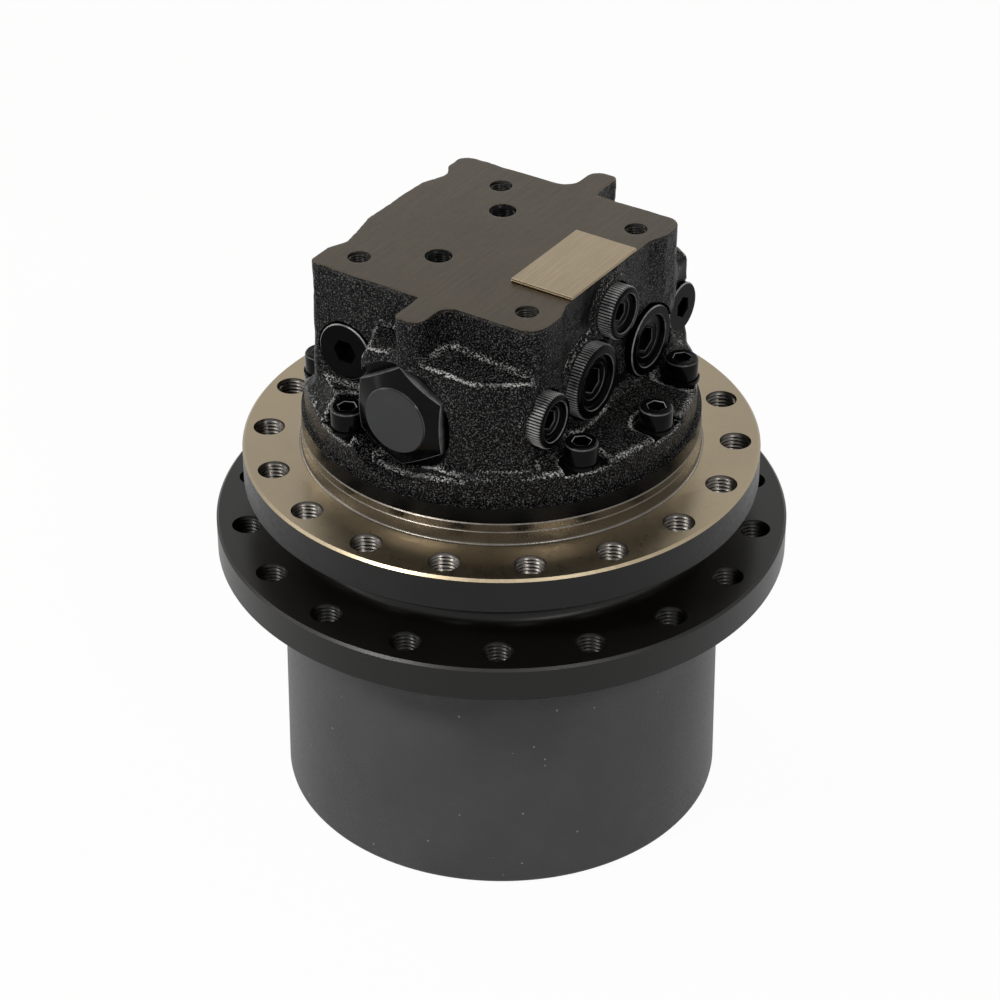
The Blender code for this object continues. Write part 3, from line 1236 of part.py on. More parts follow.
def make_valve_block(finish):
    """Cast valve block: round foot with the machined band, body, skirt, corner masses and cap bosses."""
    foot = [
        (BAND_RADIUS, BLOCK_BOTTOM),
        (BAND_RADIUS, BLOCK_BOTTOM + BAND_HEIGHT),
        (CASTING_RADIUS, BLOCK_BOTTOM + BAND_HEIGHT + CASTING_EDGE / 2),
        (CASTING_RADIUS, CASTING_RIM_TOP - CASTING_EDGE),
        (CASTING_RADIUS - CASTING_EDGE, CASTING_RIM_TOP),
        (0.0, CASTING_RIM_TOP),
    ]
    spigot = [(0.0, SPIGOT_BOTTOM), (SPIGOT_RADIUS, SPIGOT_BOTTOM), (SPIGOT_RADIUS, BLOCK_BOTTOM)]
    block = place("valve_block", turned(foot, LARGE_ROUND, spigot), finish)
    outline = block_outline()
    fuse(block, place("block_body", lofted([(outline, CASTING_RIM_TOP - 2 * OVERRUN), (outline, BLOCK_TOP)])))
    fuse(block, place("block_skirt", lofted(skirt_levels())))
    fuse(block, place("corner_mass", lofted(corner_mass_levels())))
    bosses = []
    for side, face_y in ((-1, BLOCK_FRONT), (1, BLOCK_BACK)):
        boss = disc(CAP_BOSS_RADIUS, -CAP_BOSS_ROOT, CAP_BOSS_REACH, MEDIUM_ROUND)
        bosses.append(along(boss, (0, side, 0), (SPOOL_OFFSET, side * face_y, SPOOL_Z)))
    fuse(block, place("cap_bosses", joined(bosses)))
    fuse(block, place("back_mass", lofted(back_mass_levels())))
    spool_bore = disc(SPOOL_RADIUS + GAP, -SPOOL_BORE_REACH, SPOOL_BORE_REACH, SMALL_ROUND)
    cut(
        block,
        place("screw_pockets", joined(screw_pockets())),
        place("screw_shank_holes", screw_holes(BLOCK_BOTTOM - OVERRUN, SCREW_SEAT + OVERRUN)),
        place("cap_recesses", joined(cap_recesses())),
        place("spool_bore", along(spool_bore, (0, 1, 0), (SPOOL_OFFSET, 0, SPOOL_Z))),
        place("top_holes", joined(top_holes())),
        place("plug_holes", joined(plug_holes())),
        place(
            "shaft_bearing_bore",
            disc(
                SHAFT_JOURNAL_RADIUS + SHAFT_BEARING_WALL + GAP,
                SPIGOT_BOTTOM - BITE,
                SPIGOT_BOTTOM + SHAFT_JOURNAL_LENGTH + BITE,
                SMALL_ROUND,
            ),
        ),
    )


def skirt_levels():
    """Sloping lower flank of the casting on its left half, from the rim up to the straight body."""
    low = arc(CASTING_RADIUS - OVERRUN, SKIRT_FIRST_ANGLE, SKIRT_LAST_ANGLE, SKIRT_STEPS)
    high = arc(CASTING_RADIUS - SKIRT_INSET, SKIRT_FIRST_ANGLE, SKIRT_LAST_ANGLE, SKIRT_STEPS)
    return [(low, CASTING_RIM_TOP - CASTING_EDGE - BITE), (high, BLOCK_BOTTOM + SKIRT_TOP)]


def corner_mass_levels():
    """Full round mass at the front right corner, which slopes back to the top face's edge."""
    levels = []
    for inset, height, first, last in CORNER_MASS_LEVELS:
        outline = [CORNER_MASS_ROOT] + arc(CORNER_MASS_RADIUS - inset, first, last, CORNER_MASS_STEPS)
        levels.append((outline, BLOCK_BOTTOM + height))
    return levels


def back_mass_levels():
    """Round mass at the right back corner, which carries the small return plug."""
    x, y = BACK_MASS_ROOT
    levels = []
    for inset, height in BACK_MASS_LEVELS:
        radius = BACK_MASS_RADIUS - inset
        curve = arc(radius, BACK_MASS_FIRST_ANGLE, BACK_MASS_LAST_ANGLE, BACK_MASS_STEPS)
        outline = [(x, y), (BLOCK_RIGHT_WAIST - inset, y), *curve, (x, BACK_MASS_SHOULDER - inset)]
        levels.append((outline, BLOCK_BOTTOM + height))
    return levels


def screw_pockets():
    """Clearance over each cap screw, open upwards and outwards."""
    pockets = []
    for x, y, turn in screw_places():
        outline = arc(SCREW_POCKET_RADIUS, 90, 270, 6)
        outline += [(SCREW_POCKET_RUN, -SCREW_POCKET_MOUTH), (SCREW_POCKET_RUN, SCREW_POCKET_MOUTH)]
        pocket = lofted([(outline, SCREW_SEAT), (outline, SCREW_SEAT + SCREW_POCKET_HEIGHT)])
        pockets.append(moved(pocket, x, y, 0, turn - SCREW_TURN))
    return pockets


def cap_recesses():
    """Spotfaces and threaded bores of the two valve caps."""
    cutters = []
    for side, face_y in ((-1, BLOCK_FRONT), (1, BLOCK_BACK)):
        floor = side * (face_y + CAP_BOSS_REACH - CAP_RECESS_DEPTH)
        bore_end = -CAP_SHANK_LENGTH - BITE
        hole = stepped_hole(CAP_SHANK_RADIUS + GAP, bore_end, CAP_RECESS_RADIUS, SPOTFACE_REACH, MEDIUM_ROUND)
        cutters.append(along(hole, (0, side, 0), (SPOOL_OFFSET, floor, SPOOL_Z)))
    return cutters


def top_holes():
    """Blind holes in the machined top face."""
    return [
        moved(disc(radius, BLOCK_TOP - depth, BLOCK_TOP + OVERRUN, TINY_ROUND), x, y)
        for x, y, radius, depth in TOP_HOLES
    ]


def stepped_hole(bore, bore_end, spotface, spotface_end, facets):
    """Cutter along Z for a blind bore below a wider spotface, which starts at height zero."""
    profile = [(0.0, bore_end), (bore, bore_end), (bore, 0.0), (spotface, 0.0), (spotface, spotface_end)]
    return turned(profile + [(0.0, spotface_end)], facets)


def plug_holes():
    """Spotface and threaded bore of every plug."""
    cutters = []
    for _, face, across, height, radius, _, style, depth in PLUGS:
        location, outward = plug_frame(face, across, height, -depth)
        bore = radius * PLUG_SHANK_SHARE + GAP
        bore_end = -PLUG_SHANK_LENGTH - BITE
        hole = stepped_hole(bore, bore_end, radius + SPOTFACE_MARGIN, SPOTFACE_REACH, plug_facets(style))
        cutters.append(along(hole, outward, location))
    return cutters


def make_spool_caps(finish):
    """Large hexagon caps that close the counterbalance valve's bore at both ends."""
    floor = CAP_BOSS_REACH - CAP_RECESS_DEPTH + GAP
    top = floor + CAP_HEAD_HEIGHT
    corner = hexagon(CAP_ACROSS_FLATS, math.pi / 2)
    narrow = hexagon(CAP_ACROSS_FLATS - 2 * CAP_CHAMFER, math.pi / 2)
    for name, side, face_y in (("spool_cap_front", -1, BLOCK_FRONT), ("spool_cap_rear", 1, BLOCK_BACK)):
        origin = (SPOOL_OFFSET, side * face_y, SPOOL_Z)
        head = lofted([(corner, floor), (corner, top - CAP_CHAMFER), (narrow, top)])
        cap = place(name, along(head, (0, side, 0), origin), finish)
        shank = disc(CAP_SHANK_RADIUS, floor - CAP_SHANK_LENGTH, floor + BITE, MEDIUM_ROUND)
        fuse(cap, place(f"{name}_shank", along(shank, (0, side, 0), origin)))
        face_disc = disc(CAP_DISC_RADIUS, top - BITE, top + CAP_DISC_HEIGHT, MEDIUM_ROUND)
        fuse(cap, place(f"{name}_disc", along(face_disc, (0, side, 0), origin)))


def make_spool(finish, spring_finish):
    """Counterbalance spool on its own axis, with a centring spring at each end."""
    half = SPOOL_LENGTH / 2
    waist = SPOOL_RADIUS - SPOOL_WAIST
    land = half - SPOOL_END_LAND
    right = [
        (SPOOL_RADIUS, SPOOL_CENTRE_LAND),
        (waist, SPOOL_CENTRE_LAND + SPOOL_TAPER),
        (waist, land - SPOOL_TAPER),
        (SPOOL_RADIUS, land),
        (SPOOL_RADIUS, half),
        (0.0, half),
    ]
    left = [(radius, -height) for radius, height in reversed(right)]
    spool = along(turned(left + right, SMALL_ROUND), (0, 1, 0))
    place("counterbalance_spool", spool, finish, (SPOOL_OFFSET, 0, SPOOL_Z))
    for name, side, face_y in (("spool_spring_front", -1, BLOCK_FRONT), ("spool_spring_rear", 1, BLOCK_BACK)):
        start = half + GAP
        end = face_y + CAP_BOSS_REACH - CAP_RECESS_DEPTH - CAP_SHANK_LENGTH
        spring = coil(SPOOL_RADIUS - SPRING_WIRE - SPRING_ROOM, SPRING_WIRE, start, end, SPRING_TURNS)
        place(name, along(spring, (0, side, 0)), spring_finish, (SPOOL_OFFSET, 0, SPOOL_Z))


def coil(radius, wire, start, end, turns):
    """Helical spring along Z between two heights."""
    shape = bmesh.new()
    total = turns * SPRING_STEPS
    section = circle(wire, SPRING_SIDES)
    rings = []
    for index in range(total + 1):
        angle = math.tau * index / SPRING_STEPS
        height = start + wire + (end - start - 2 * wire) * index / total
        ring = []
        for out, up in section:
            reach = radius + out
            ring.append(shape.verts.new((reach * math.cos(angle), reach * math.sin(angle), height + up)))
        rings.append(ring)
    for before, after in zip(rings, rings[1:]):
        stitch(shape, before, after)
    shape.faces.new(list(reversed(rings[0])))
    shape.faces.new(rings[-1])
    return mesh_from(shape)


def make_cap_screws(finish):
    """Socket head screws with spring washers that hold the valve block down."""
    seat = SCREW_SEAT + GAP
    washer = seat + WASHER_HEIGHT
    head = washer + SCREW_HEAD_HEIGHT
    profile = [
        (WASHER_RADIUS, seat),
        (WASHER_RADIUS, washer),
        (SCREW_HEAD_RADIUS, washer),
        (SCREW_HEAD_RADIUS, head),
        (0.0, head),
    ]
    end = SCREW_SEAT - SCREW_LENGTH
    shank = [(0.0, end), (SCREW_RADIUS, end), (SCREW_RADIUS, seat)]
    socket = hexagon(SCREW_SOCKET)
    for index, (x, y, turn) in enumerate(screw_places(), 1):
        name = f"cap_screw_{index}"
        screw = place(name, turned(profile, SMALL_ROUND, shank), finish, (x, y, 0), (0, 0, turn))
        hole = lofted([(socket, head - SCREW_HEAD_HEIGHT / 2), (socket, head + OVERRUN)])
        cut(screw, place(f"{name}_socket", hole, None, (x, y, 0), (0, 0, turn)))


def make_nameplate(finish):
    """Plain plate of two thin layers on the top face."""
    x, y = PLATE_CENTRE
    bottom = BLOCK_TOP + GAP
    middle = bottom + PLATE_THICKNESS / 2
    layers = [
        (0.0, bottom),
        (0.0, middle - PLATE_GROOVE_HEIGHT),
        (PLATE_GROOVE_DEPTH, middle),
        (0.0, middle + PLATE_GROOVE_HEIGHT),
        (0.0, bottom + PLATE_THICKNESS),
    ]
    levels = []
    for inset, height in layers:
        a = PLATE_WIDTH / 2 - inset
        b = PLATE_LENGTH / 2 - inset
        levels.append(([(x - a, y - b), (x + a, y - b), (x + a, y + b), (x - a, y + b)], height))
    place("nameplate", lofted(levels), finish)


def build():
    clear_scene()
    black_casting = material("black casting", (0.012, 0.012, 0.013), 0.35, 0.3)
    drum_paint = material("dark grey casting", (0.055, 0.057, 0.060), 0.6, 0.2)
    turned_steel = material("turned steel", (0.42, 0.38, 0.32), 0.35, 0.9)
    black_steel = material("black oxide steel", (0.02, 0.02, 0.02), 0.4, 0.7)
    gear_steel = material("gear steel", (0.30, 0.30, 0.31), 0.3, 1.0)
    bearing_steel = material("bearing steel", (0.55, 0.55, 0.56), 0.2, 1.0)
    friction = material("friction lining", (0.16, 0.12, 0.08), 0.8, 0.0)
    rubber = material("black rubber", (0.015, 0.015, 0.015), 0.6, 0.0)
    brass = material("bronze", (0.45, 0.30, 0.14), 0.35, 1.0)
    plate_metal = material("plate metal", (0.62, 0.54, 0.40), 0.4, 0.9)
    make_hub_drum(drum_paint)
    make_end_cover(drum_paint, black_steel, rubber)
    make_spindle(turned_steel)
    make_floating_seal(gear_steel, rubber)
    make_main_bearings(bearing_steel, brass)
    make_bearing_nut(gear_steel)
    make_output_carrier(gear_steel)
    make_first_carrier(gear_steel)
    make_suns(gear_steel)
    make_planets(gear_steel)
    make_motor_shaft(gear_steel)
    make_shaft_bearings(bearing_steel)
    make_swash_plate(gear_steel)
    make_shoe_plate(brass)
    make_cylinder_block(gear_steel)
    make_valve_plate(brass)
    make_brake(gear_steel, friction, bearing_steel)
    make_valve_block(black_casting)
    make_cap_screws(black_steel)
    make_spool(gear_steel, bearing_steel)
    make_spool_caps(black_steel)
    for plug in PLUGS:
        make_plug(*plug, black_steel)
    make_nameplate(plate_metal)


build()
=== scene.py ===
"""Looks of the travel final drive: its finishes, and the turned, threaded, knurled and cast surfaces that
stand for the plain solids. Metres, +Z up along the drive's axis, origin at the centre of the drum's foot."""

import math

import bmesh
import bpy
import numpy as np
from mathutils import Matrix, Vector


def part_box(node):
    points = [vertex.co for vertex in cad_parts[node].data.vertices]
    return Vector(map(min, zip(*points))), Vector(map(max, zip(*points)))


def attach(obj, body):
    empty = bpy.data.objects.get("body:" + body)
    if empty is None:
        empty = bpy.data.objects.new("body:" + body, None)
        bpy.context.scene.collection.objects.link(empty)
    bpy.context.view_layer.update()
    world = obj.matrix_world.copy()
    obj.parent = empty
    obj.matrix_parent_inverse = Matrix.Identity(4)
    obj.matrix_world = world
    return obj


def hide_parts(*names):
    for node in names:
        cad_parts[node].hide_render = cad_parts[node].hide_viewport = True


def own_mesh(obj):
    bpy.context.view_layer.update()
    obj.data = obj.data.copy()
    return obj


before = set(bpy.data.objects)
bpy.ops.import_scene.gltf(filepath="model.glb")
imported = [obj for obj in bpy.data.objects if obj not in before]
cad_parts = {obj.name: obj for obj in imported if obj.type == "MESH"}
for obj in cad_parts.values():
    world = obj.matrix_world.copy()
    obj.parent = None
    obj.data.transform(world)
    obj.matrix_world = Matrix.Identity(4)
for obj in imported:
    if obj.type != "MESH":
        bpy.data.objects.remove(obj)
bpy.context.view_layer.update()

# Camera of the photograph: where it stands, what it looks at, and its lens
CAMERA_PLACE = (0.7206, -1.0949, 1.0123)
CAMERA_TARGET = (0.0, 0.0, 0.1542)
CAMERA_LENS = 112.9
CAMERA_SHIFT = (-0.0015, 0.0020)

# Lamps: name, azimuth from +X, elevation, distance, size, brightness of the panel, colour
LIT_HEIGHT = 0.2
WARM = (1.0, 0.92, 0.78)
NEUTRAL = (1.0, 0.99, 0.97)
LAMPS = (
    ("back_left", 168.0, 30.0, 1.6, (0.60, 0.50), 5.0, WARM),
    ("back_right", 78.0, 30.0, 1.6, (0.60, 0.50), 3.2, WARM),
    ("front_left", -108.0, 42.0, 1.5, (0.26, 0.26), 46.0, NEUTRAL),
    ("front_right", -30.0, 38.0, 1.5, (0.24, 0.24), 34.0, NEUTRAL),
    ("left_box", -148.0, 14.0, 1.6, (0.30, 0.80), 5.0, NEUTRAL),
)
WORLD_LIGHT = 0.22

# Floor: half its width, gap under the drum, colour, and how far it shows as plain white
FLOOR_HALF = 4.0
FLOOR_GAP = 0.0004
FLOOR_COLOUR = (0.85, 0.85, 0.85)
FLOOR_WHITE = 0.96

# Finishes: share and shade of turning marks; angle, stretch and lightness of brush strokes; patches of
# painted glints
TURNING_SHARE = 0.35
TURNING_SHADE = 0.72
STROKE_ANGLE = math.radians(52)
STROKE_STRETCH = 0.03
STROKE_LIGHT = 1.35
GLINT_PATCHES = 95.0

# Points closer than this are one; pieces keep a gap to the face that they sit on; corners of a square
WELD = 2e-6
SEAT_GAP = 0.0003
SQUARE = ((-1, -1), (1, -1), (1, 1), (-1, 1))

# Drum and sprocket flange
DRUM_FOOT_RADIUS = 0.1108
DRUM_TOP_RADIUS = 0.1092
DRUM_EDGE = 0.0030
FLANGE_BOTTOM = 0.1361
FLANGE_TOP = 0.1542
FLANGE_RADIUS = 0.1420
FLANGE_EDGE = 0.0012
FLANGE_ROOT = 0.0030
SPROCKET_CIRCLE = 0.1270
SPROCKET_PHASE = math.radians(2.5)
NECK_RADIUS = 0.1042
NECK_TOP = 0.1726
NECK_FILLET = 0.0070
NECK_EDGE = 0.0008
GEAR_SPACE_RADIUS = 0.0978
COVER_BORE = 0.1000
COVER_SHELF = 0.0225
COVER_GROOVE_TOP = 0.0062
COVER_GROOVE_LOW = 0.0026
COVER_GROOVE_DEPTH = 0.0033
SEAL_SEAT_RADIUS = 0.0992
SEAL_SEAT_DEPTH = 0.0095
SEAL_BORE = 0.0796
BEARING_BORE = 0.0893
BEARING_SHELF = 0.1392

# End cover, its oil plugs, and the open ring that locks it
COVER_RADIUS = 0.0997
OIL_PLUG_X = 0.0620
LOCK_INNER = 0.0970
LOCK_OUTER = 0.1030
LOCK_GAP = math.radians(9)

# Spindle: frame flange, boss and stem, and the motor's bore
FRAME_BOTTOM = 0.1756
FRAME_TOP = 0.1944
FRAME_RADIUS = 0.1274
FRAME_CIRCLE = 0.1150
FRAME_PHASE = math.radians(10)
BOSS_RADIUS = 0.0982
BOSS_TOP = 0.2060
BOSS_ROOT = 0.0012
BOSS_LINE = 0.0004
BOSS_LINE_SHARE = 0.62
STEM_RADIUS = 0.0767
STEM_TIP_RADIUS = 0.0596
STEM_SHOULDER = 0.1390
STEM_BOTTOM = 0.0870
MOTOR_BORE = 0.0545
MOTOR_FLOOR = 0.1163
SHAFT_BORE = 0.0203

# Threaded holes of the flanges: number, radius, pitch, depth of the thread, chamfer at the mouth
HOLE_COUNT = 18
HOLE_RADIUS = 0.0066
THREAD_PITCH = 0.0020
THREAD_DEPTH = 0.0009
HOLE_MOUTH = 0.0012
SAMPLES_PER_PITCH = 6

# Ring gear inside the drum
RING_TEETH = 63
RING_TIP_RADIUS = 0.0921
RING_GEAR_BOTTOM = 0.0226
RING_GEAR_TOP = 0.0882

# Segments of a full turn on the large pieces, and on the small ones
LARGE_TURN = 288
SMALL_TURN = 96

# Valve block casting; the rim's dip and the sides of skirt and masses are degrees round the axis
BLOCK_LOW = 0.20635
BLOCK_TOP = 0.30125
BLOCK_REACH = 0.1010
BAND_RADIUS = 0.0978
BAND_TOP = 0.21405
CASTING_RADIUS = 0.0954
RIM_TOP = 0.23105
RIM_FRONT_TOP = 0.2272
RIM_DIP = (-127, -63)
RIM_WAVE = 0.0012
FLANK_SLOPE = 0.62
SPOOL_X = -0.0010
SPOOL_Z = 0.24735
SPOOL_BORE = 0.0113
CAP_BOSS_RADIUS = 0.0345
CAP_BOSS_FRONT = 0.0842
CAP_BOSS_REAR = 0.0845
CAP_RECESS_RADIUS = 0.0284
CAP_RECESS_DEPTH = 0.0050
CAP_BORE = 0.0203
CAP_BORE_DEPTH = 0.0170
SHAFT_RECESS = (0.0178, 0.0112)
SKIRT_TOP = 0.25735
SKIRT_SIDES = (96, 264)
SHELF_TOP = 0.2412
SHELF_BACK = -0.0640
SCREW_CIRCLE = 0.0875
SCREW_ANGLES = (0.0, 31.5, -31.5, 113.0, -113.0, 148.5, -148.5)
SCREW_TURN = math.radians(15)
SCREW_SEAT = 0.22735
POCKET_RADIUS = 0.0112
POCKET_HEIGHT = 0.0550
POCKET_FLARE = 0.06
FRONT_RADIUS = 0.0924
FRONT_MASS_SIDE = -47
LEDGE_LIP = 0.2777
LEDGE_SLOPE = 0.16
LEDGE_END = (-0.0261, -0.0652, math.radians(-71.4))
BACK_MASS_RADIUS = 0.0963
BACK_MASS_TOP = 0.2790
BACK_MASS_SIDE = 72
BACK_MASS_START = 0.030
BLOCK_WALL = 0.0580
FILLET = 0.0020

# Mesh of the casting: size of its cells, and the step over which its bend is read for the painted lip
# highlights
CELL = 0.0009
BEND_STEP = 0.0008

# Unevenness of the cast skin: random heights on a lattice, and the length and height of each layer of lumps
LATTICE = 64
HEIGHTS = np.random.default_rng(7).uniform(-1.0, 1.0, (LATTICE, LATTICE, LATTICE))
LUMPS = ((0.0030, 0.00016), (0.0061, 0.00026), (0.0130, 0.00040))

# Map of distances to the top face's outline
MAP_STEP = 0.00025
MAP_REACH = 0.1050

# Plugs on the right wall, and the one on the front wall: node, place across, height, radius, head, style
WALL_PLUGS = (
    ("port_plug_upper", 0.0052, 0.28085, 0.0132, 0.0090, "knurled"),
    ("port_plug_main", -0.0168, 0.25385, 0.0186, 0.0080, "knurled"),
    ("port_plug_lower", -0.0572, 0.25365, 0.0134, 0.0100, "knurled"),
    ("return_plug_main", 0.0383, 0.24835, 0.0180, 0.0040, "dished"),
    ("return_plug_small", 0.0703, 0.25125, 0.0127, 0.0025, "flat"),
)
WALL_SEAT = 0.0575
FRONT_PLUG = ("valve_plug_front", -0.0453, 0.25885, 0.0146, 0.0030, "flat")
FRONT_WALL = 0.0652
FRONT_SEAT = 0.0633
KNURL_PITCH = 0.00150
KNURL_DEPTH = 0.00042
FLAT_PLUG_SOCKET = 0.74
PLUG_LENGTH = 0.0115
PLUG_SHANK = 0.60
PLUG_SPOTFACE = 0.0011
PLUG_BORE = 0.62
PLUG_BORE_DEPTH = 0.0130
PLUG_BOSS_WIDTH = 0.0042
PLUG_BOSS_HEIGHT = 0.0018

# Cap screws and their split washers
SCREW_RADIUS = 0.0050
SCREW_LENGTH = 0.0348
SCREW_HEAD_RADIUS = 0.0080
SCREW_HEAD_HEIGHT = 0.0100
SCREW_SOCKET = 0.0080
WASHER_BORE = 0.0053
WASHER_RADIUS = 0.0088
WASHER_HEIGHT = 0.0024
WASHER_RISE = 0.0005
WASHER_GAP = 0.13

# Hexagon caps over the counterbalance spool
CAP_FLATS = 0.0455
CAP_HEIGHT = 0.0090
CAP_FACE_RADIUS = 0.0166
CAP_CONE_RADIUS = 0.0182
CAP_CONE_SLOPE = 0.46
CAP_SHANK_RADIUS = 0.0199
CAP_SHANK_LENGTH = 0.0155

# Nameplate: rounding of its edges, and how far its upper layer stands back
PLATE_EDGE = 0.00012
PLATE_INSET = 0.0001

# Springs inside: plate of the disc spring, and wire and turns of the helical ones
BRAKE_SPRING_PLATE = 0.0016
SPRING_WIRE = 0.0011
SPRING_TURNS = 3

# Tapped holes and, where wider than PORT_RADIUS, oil ports in the top face: x, y, radius, depth
PORT_RADIUS = 0.0055
TOP_PITCH = 0.00125
TOP_THREAD_DEPTH = 0.0006
TOP_HOLES = (
    (-0.0320, 0.0482, 0.0050, 0.020),
    (-0.0481, -0.0487, 0.0050, 0.020),
    (0.0462, 0.0466, 0.0050, 0.020),
    (0.0461, -0.0489, 0.0050, 0.020),
    (-0.0172, 0.0272, 0.0060, 0.024),
    (-0.0175, -0.0273, 0.0060, 0.024),
)


def feed(tree, socket, value):
    """Links a node's input to a socket, or sets it to a number or colour."""
    if isinstance(value, bpy.types.NodeSocket):
        tree.links.new(value, socket)
    elif isinstance(value, tuple):
        socket.default_value = (*value, 1.0)
    else:
        socket.default_value = value


def added(tree, kind, **values):
    """A shader node with its named inputs fed; an underscore stands for a space."""
    node = tree.nodes.new("ShaderNode" + kind)
    for name, value in values.items():
        feed(tree, node.inputs[name.replace("_", " ")], value)
    return node


def mixed(tree, share, first, second):
    """Colour between two others."""
    mix = tree.nodes.new("ShaderNodeMix")
    mix.data_type = "RGBA"
    for index, value in ((0, share), (6, first), (7, second)):
        feed(tree, mix.inputs[index], value)
    return mix.outputs[2]


def maths(tree, operation, first, second):
    """Result of an operation on two values."""
    node = tree.nodes.new("ShaderNodeMath")
    node.operation = operation
    feed(tree, node.inputs[0], first)
    feed(tree, node.inputs[1], second)
    return node.outputs["Value"]


def ranged(tree, value, low, high, to_low=0.0, to_high=1.0):
    """Maps a value from one range to another, clamped."""
    remap = added(tree, "MapRange", Value=value, From_Min=low, From_Max=high, To_Min=to_low, To_Max=to_high)
    return remap.outputs["Result"]


def noise(tree, vector, scale, detail=2.0, roughness=0.5):
    """Noise between 0 and 1."""
    texture = added(tree, "TexNoise", Vector=vector, Scale=scale, Detail=detail, Roughness=roughness)
    return texture.outputs["Fac"]


def bumped(tree, height, distance, below=None):
    """Normal of a relief, laid over the relief below."""
    bump = added(tree, "Bump", Height=height, Distance=distance, Strength=1.0)
    if below is not None:
        tree.links.new(below, bump.inputs["Normal"])
    return bump.outputs["Normal"]


def attribute(tree, name):
    """Value that the mesh holds at each point."""
    node = tree.nodes.new("ShaderNodeAttribute")
    node.attribute_name = name
    return node.outputs["Fac"]


def turning_marks(tree, place, pitch, upright):
    """Noise that only varies with the distance from the drive's axis, or with the height where upright."""
    apart = added(tree, "SeparateXYZ", Vector=place).outputs
    if upright:
        source = apart["Z"]
    else:
        flat = added(tree, "CombineXYZ", X=apart["X"], Y=apart["Y"])
        length = tree.nodes.new("ShaderNodeVectorMath")
        length.operation = "LENGTH"
        tree.links.new(flat.outputs["Vector"], length.inputs[0])
        source = length.outputs["Value"]
    line = added(tree, "CombineXYZ", X=source)
    return noise(tree, line.outputs["Vector"], 1 / pitch, 3.0, 0.7)


def finish(
    name, colour, second, roughness, metallic=0.0, specular=0.5, patches=18.0, grain=420.0, grain_depth=0.0,
    fine=1600.0, fine_depth=0.0, turning=0.0, upright=False, turning_depth=0.0, wear_and_highlight=None, specks=None,
    brushed=0.0, grooves=0.0, glints=None,
):
    """Procedural finish: two colours in soft patches, cast grain or turning marks as relief, pale edges that
    are partly wear and partly painted highlight, and painted glints.
    """
    made = bpy.data.materials.new(name)
    made.use_nodes = True
    tree = made.node_tree
    shader = tree.nodes["Principled BSDF"]
    shader.inputs["Metallic"].default_value = metallic
    shader.inputs["Specular IOR Level"].default_value = specular
    if grooves:
        around = tree.nodes.new("ShaderNodeTangent")
        around.direction_type = "RADIAL"
        around.axis = "Z"
        tree.links.new(around.outputs["Tangent"], shader.inputs["Tangent"])
        shader.inputs["Anisotropic"].default_value = grooves
    place = tree.nodes.new("ShaderNodeTexCoord").outputs["Object"]
    blotch = noise(tree, place, patches, 4.0, 0.6)
    grains = noise(tree, place, grain, 3.0, 0.6)
    tint = mixed(tree, ranged(tree, blotch, 0.35, 0.65), colour, second)
    normal = None
    if turning:
        marks = turning_marks(tree, place, turning, upright)
        normal = bumped(tree, marks, turning_depth)
        share = maths(tree, "MULTIPLY", ranged(tree, marks, 0.3, 0.7), TURNING_SHARE)
        tint = mixed(tree, share, tint, tuple(value * TURNING_SHADE for value in colour))
    if brushed:
        stretched = added(tree, "Mapping", Vector=place)
        stretched.inputs["Rotation"].default_value = (0.0, 0.0, STROKE_ANGLE)
        stretched.inputs["Scale"].default_value = (brushed, brushed * STROKE_STRETCH, brushed)
        strokes = noise(tree, stretched.outputs["Vector"], 1.0, 4.0, 0.7)
        normal = bumped(tree, strokes, turning_depth, normal)
        strong = ranged(tree, strokes, 0.45, 0.75, 0.0, 0.6)
        tint = mixed(tree, strong, tint, tuple(value * STROKE_LIGHT for value in colour))
    if grain_depth:
        normal = bumped(tree, grains, grain_depth, normal)
    if fine_depth:
        normal = bumped(tree, noise(tree, place, fine, 2.0, 0.6), fine_depth, normal)
    if specks is not None:
        density, rarity, pale = specks
        cells = added(tree, "TexVoronoi", Vector=place, Scale=density).outputs
        picked = added(tree, "SeparateColor", Color=cells["Color"]).outputs["Red"]
        few = ranged(tree, picked, rarity, rarity + 0.01)
        near = ranged(tree, cells["Distance"], 0.10, 0.16, 1.0, 0.0)
        tint = mixed(tree, maths(tree, "MULTIPLY", few, near), tint, pale)
    # Painted highlights: the base colour is lightened into a sheen and glints
    if glints is not None:
        tint = paint_glints(tree, place, glints, tint)
    # Pale edges: partly edge wear, partly painted highlight, where the mesh marks them
    if wear_and_highlight is not None:
        broken = ranged(tree, blotch, 0.3, 0.6, 0.25, 1.0)
        tint = mixed(tree, maths(tree, "MULTIPLY", attribute(tree, "wear_and_highlight"), broken), tint, wear_and_highlight)
    tree.links.new(tint, shader.inputs["Base Color"])
    tree.links.new(ranged(tree, grains, 0.3, 0.7, *roughness), shader.inputs["Roughness"])
    if normal is not None:
        tree.links.new(normal, shader.inputs["Normal"])
    return made


def paint_glints(tree, place, glints, tint):
    """Painted sheen over a cast skin, and painted highlights as bright grains along its upward-facing lips
    and fillets.
    """
    scale, sheen, bright = glints
    grains = noise(tree, place, scale, 2.0, 0.65)
    tint = mixed(tree, ranged(tree, grains, 0.52, 0.78), tint, sheen)
    lip_highlight = attribute(tree, "lip_highlight")
    lifted = maths(tree, "ADD", grains, maths(tree, "MULTIPLY", lip_highlight, 0.18))
    share = maths(tree, "MULTIPLY", ranged(tree, lifted, 0.60, 0.76), ranged(tree, lip_highlight, 0.1, 0.6))
    broken = ranged(tree, noise(tree, place, GLINT_PATCHES), 0.36, 0.60, 0.25, 1.0)
    return mixed(tree, maths(tree, "MULTIPLY", share, broken), tint, bright)


def quads(rows, columns, closed=False):
    """Quads between neighbouring rows of points that each run round a full turn."""
    index = np.arange(rows * columns).reshape(rows, columns)
    lower = index if closed else index[:-1]
    upper = np.roll(index, -1, 0) if closed else index[1:]
    return np.stack([lower, np.roll(lower, -1, 1), np.roll(upper, -1, 1), upper], -1).reshape(-1, 4)


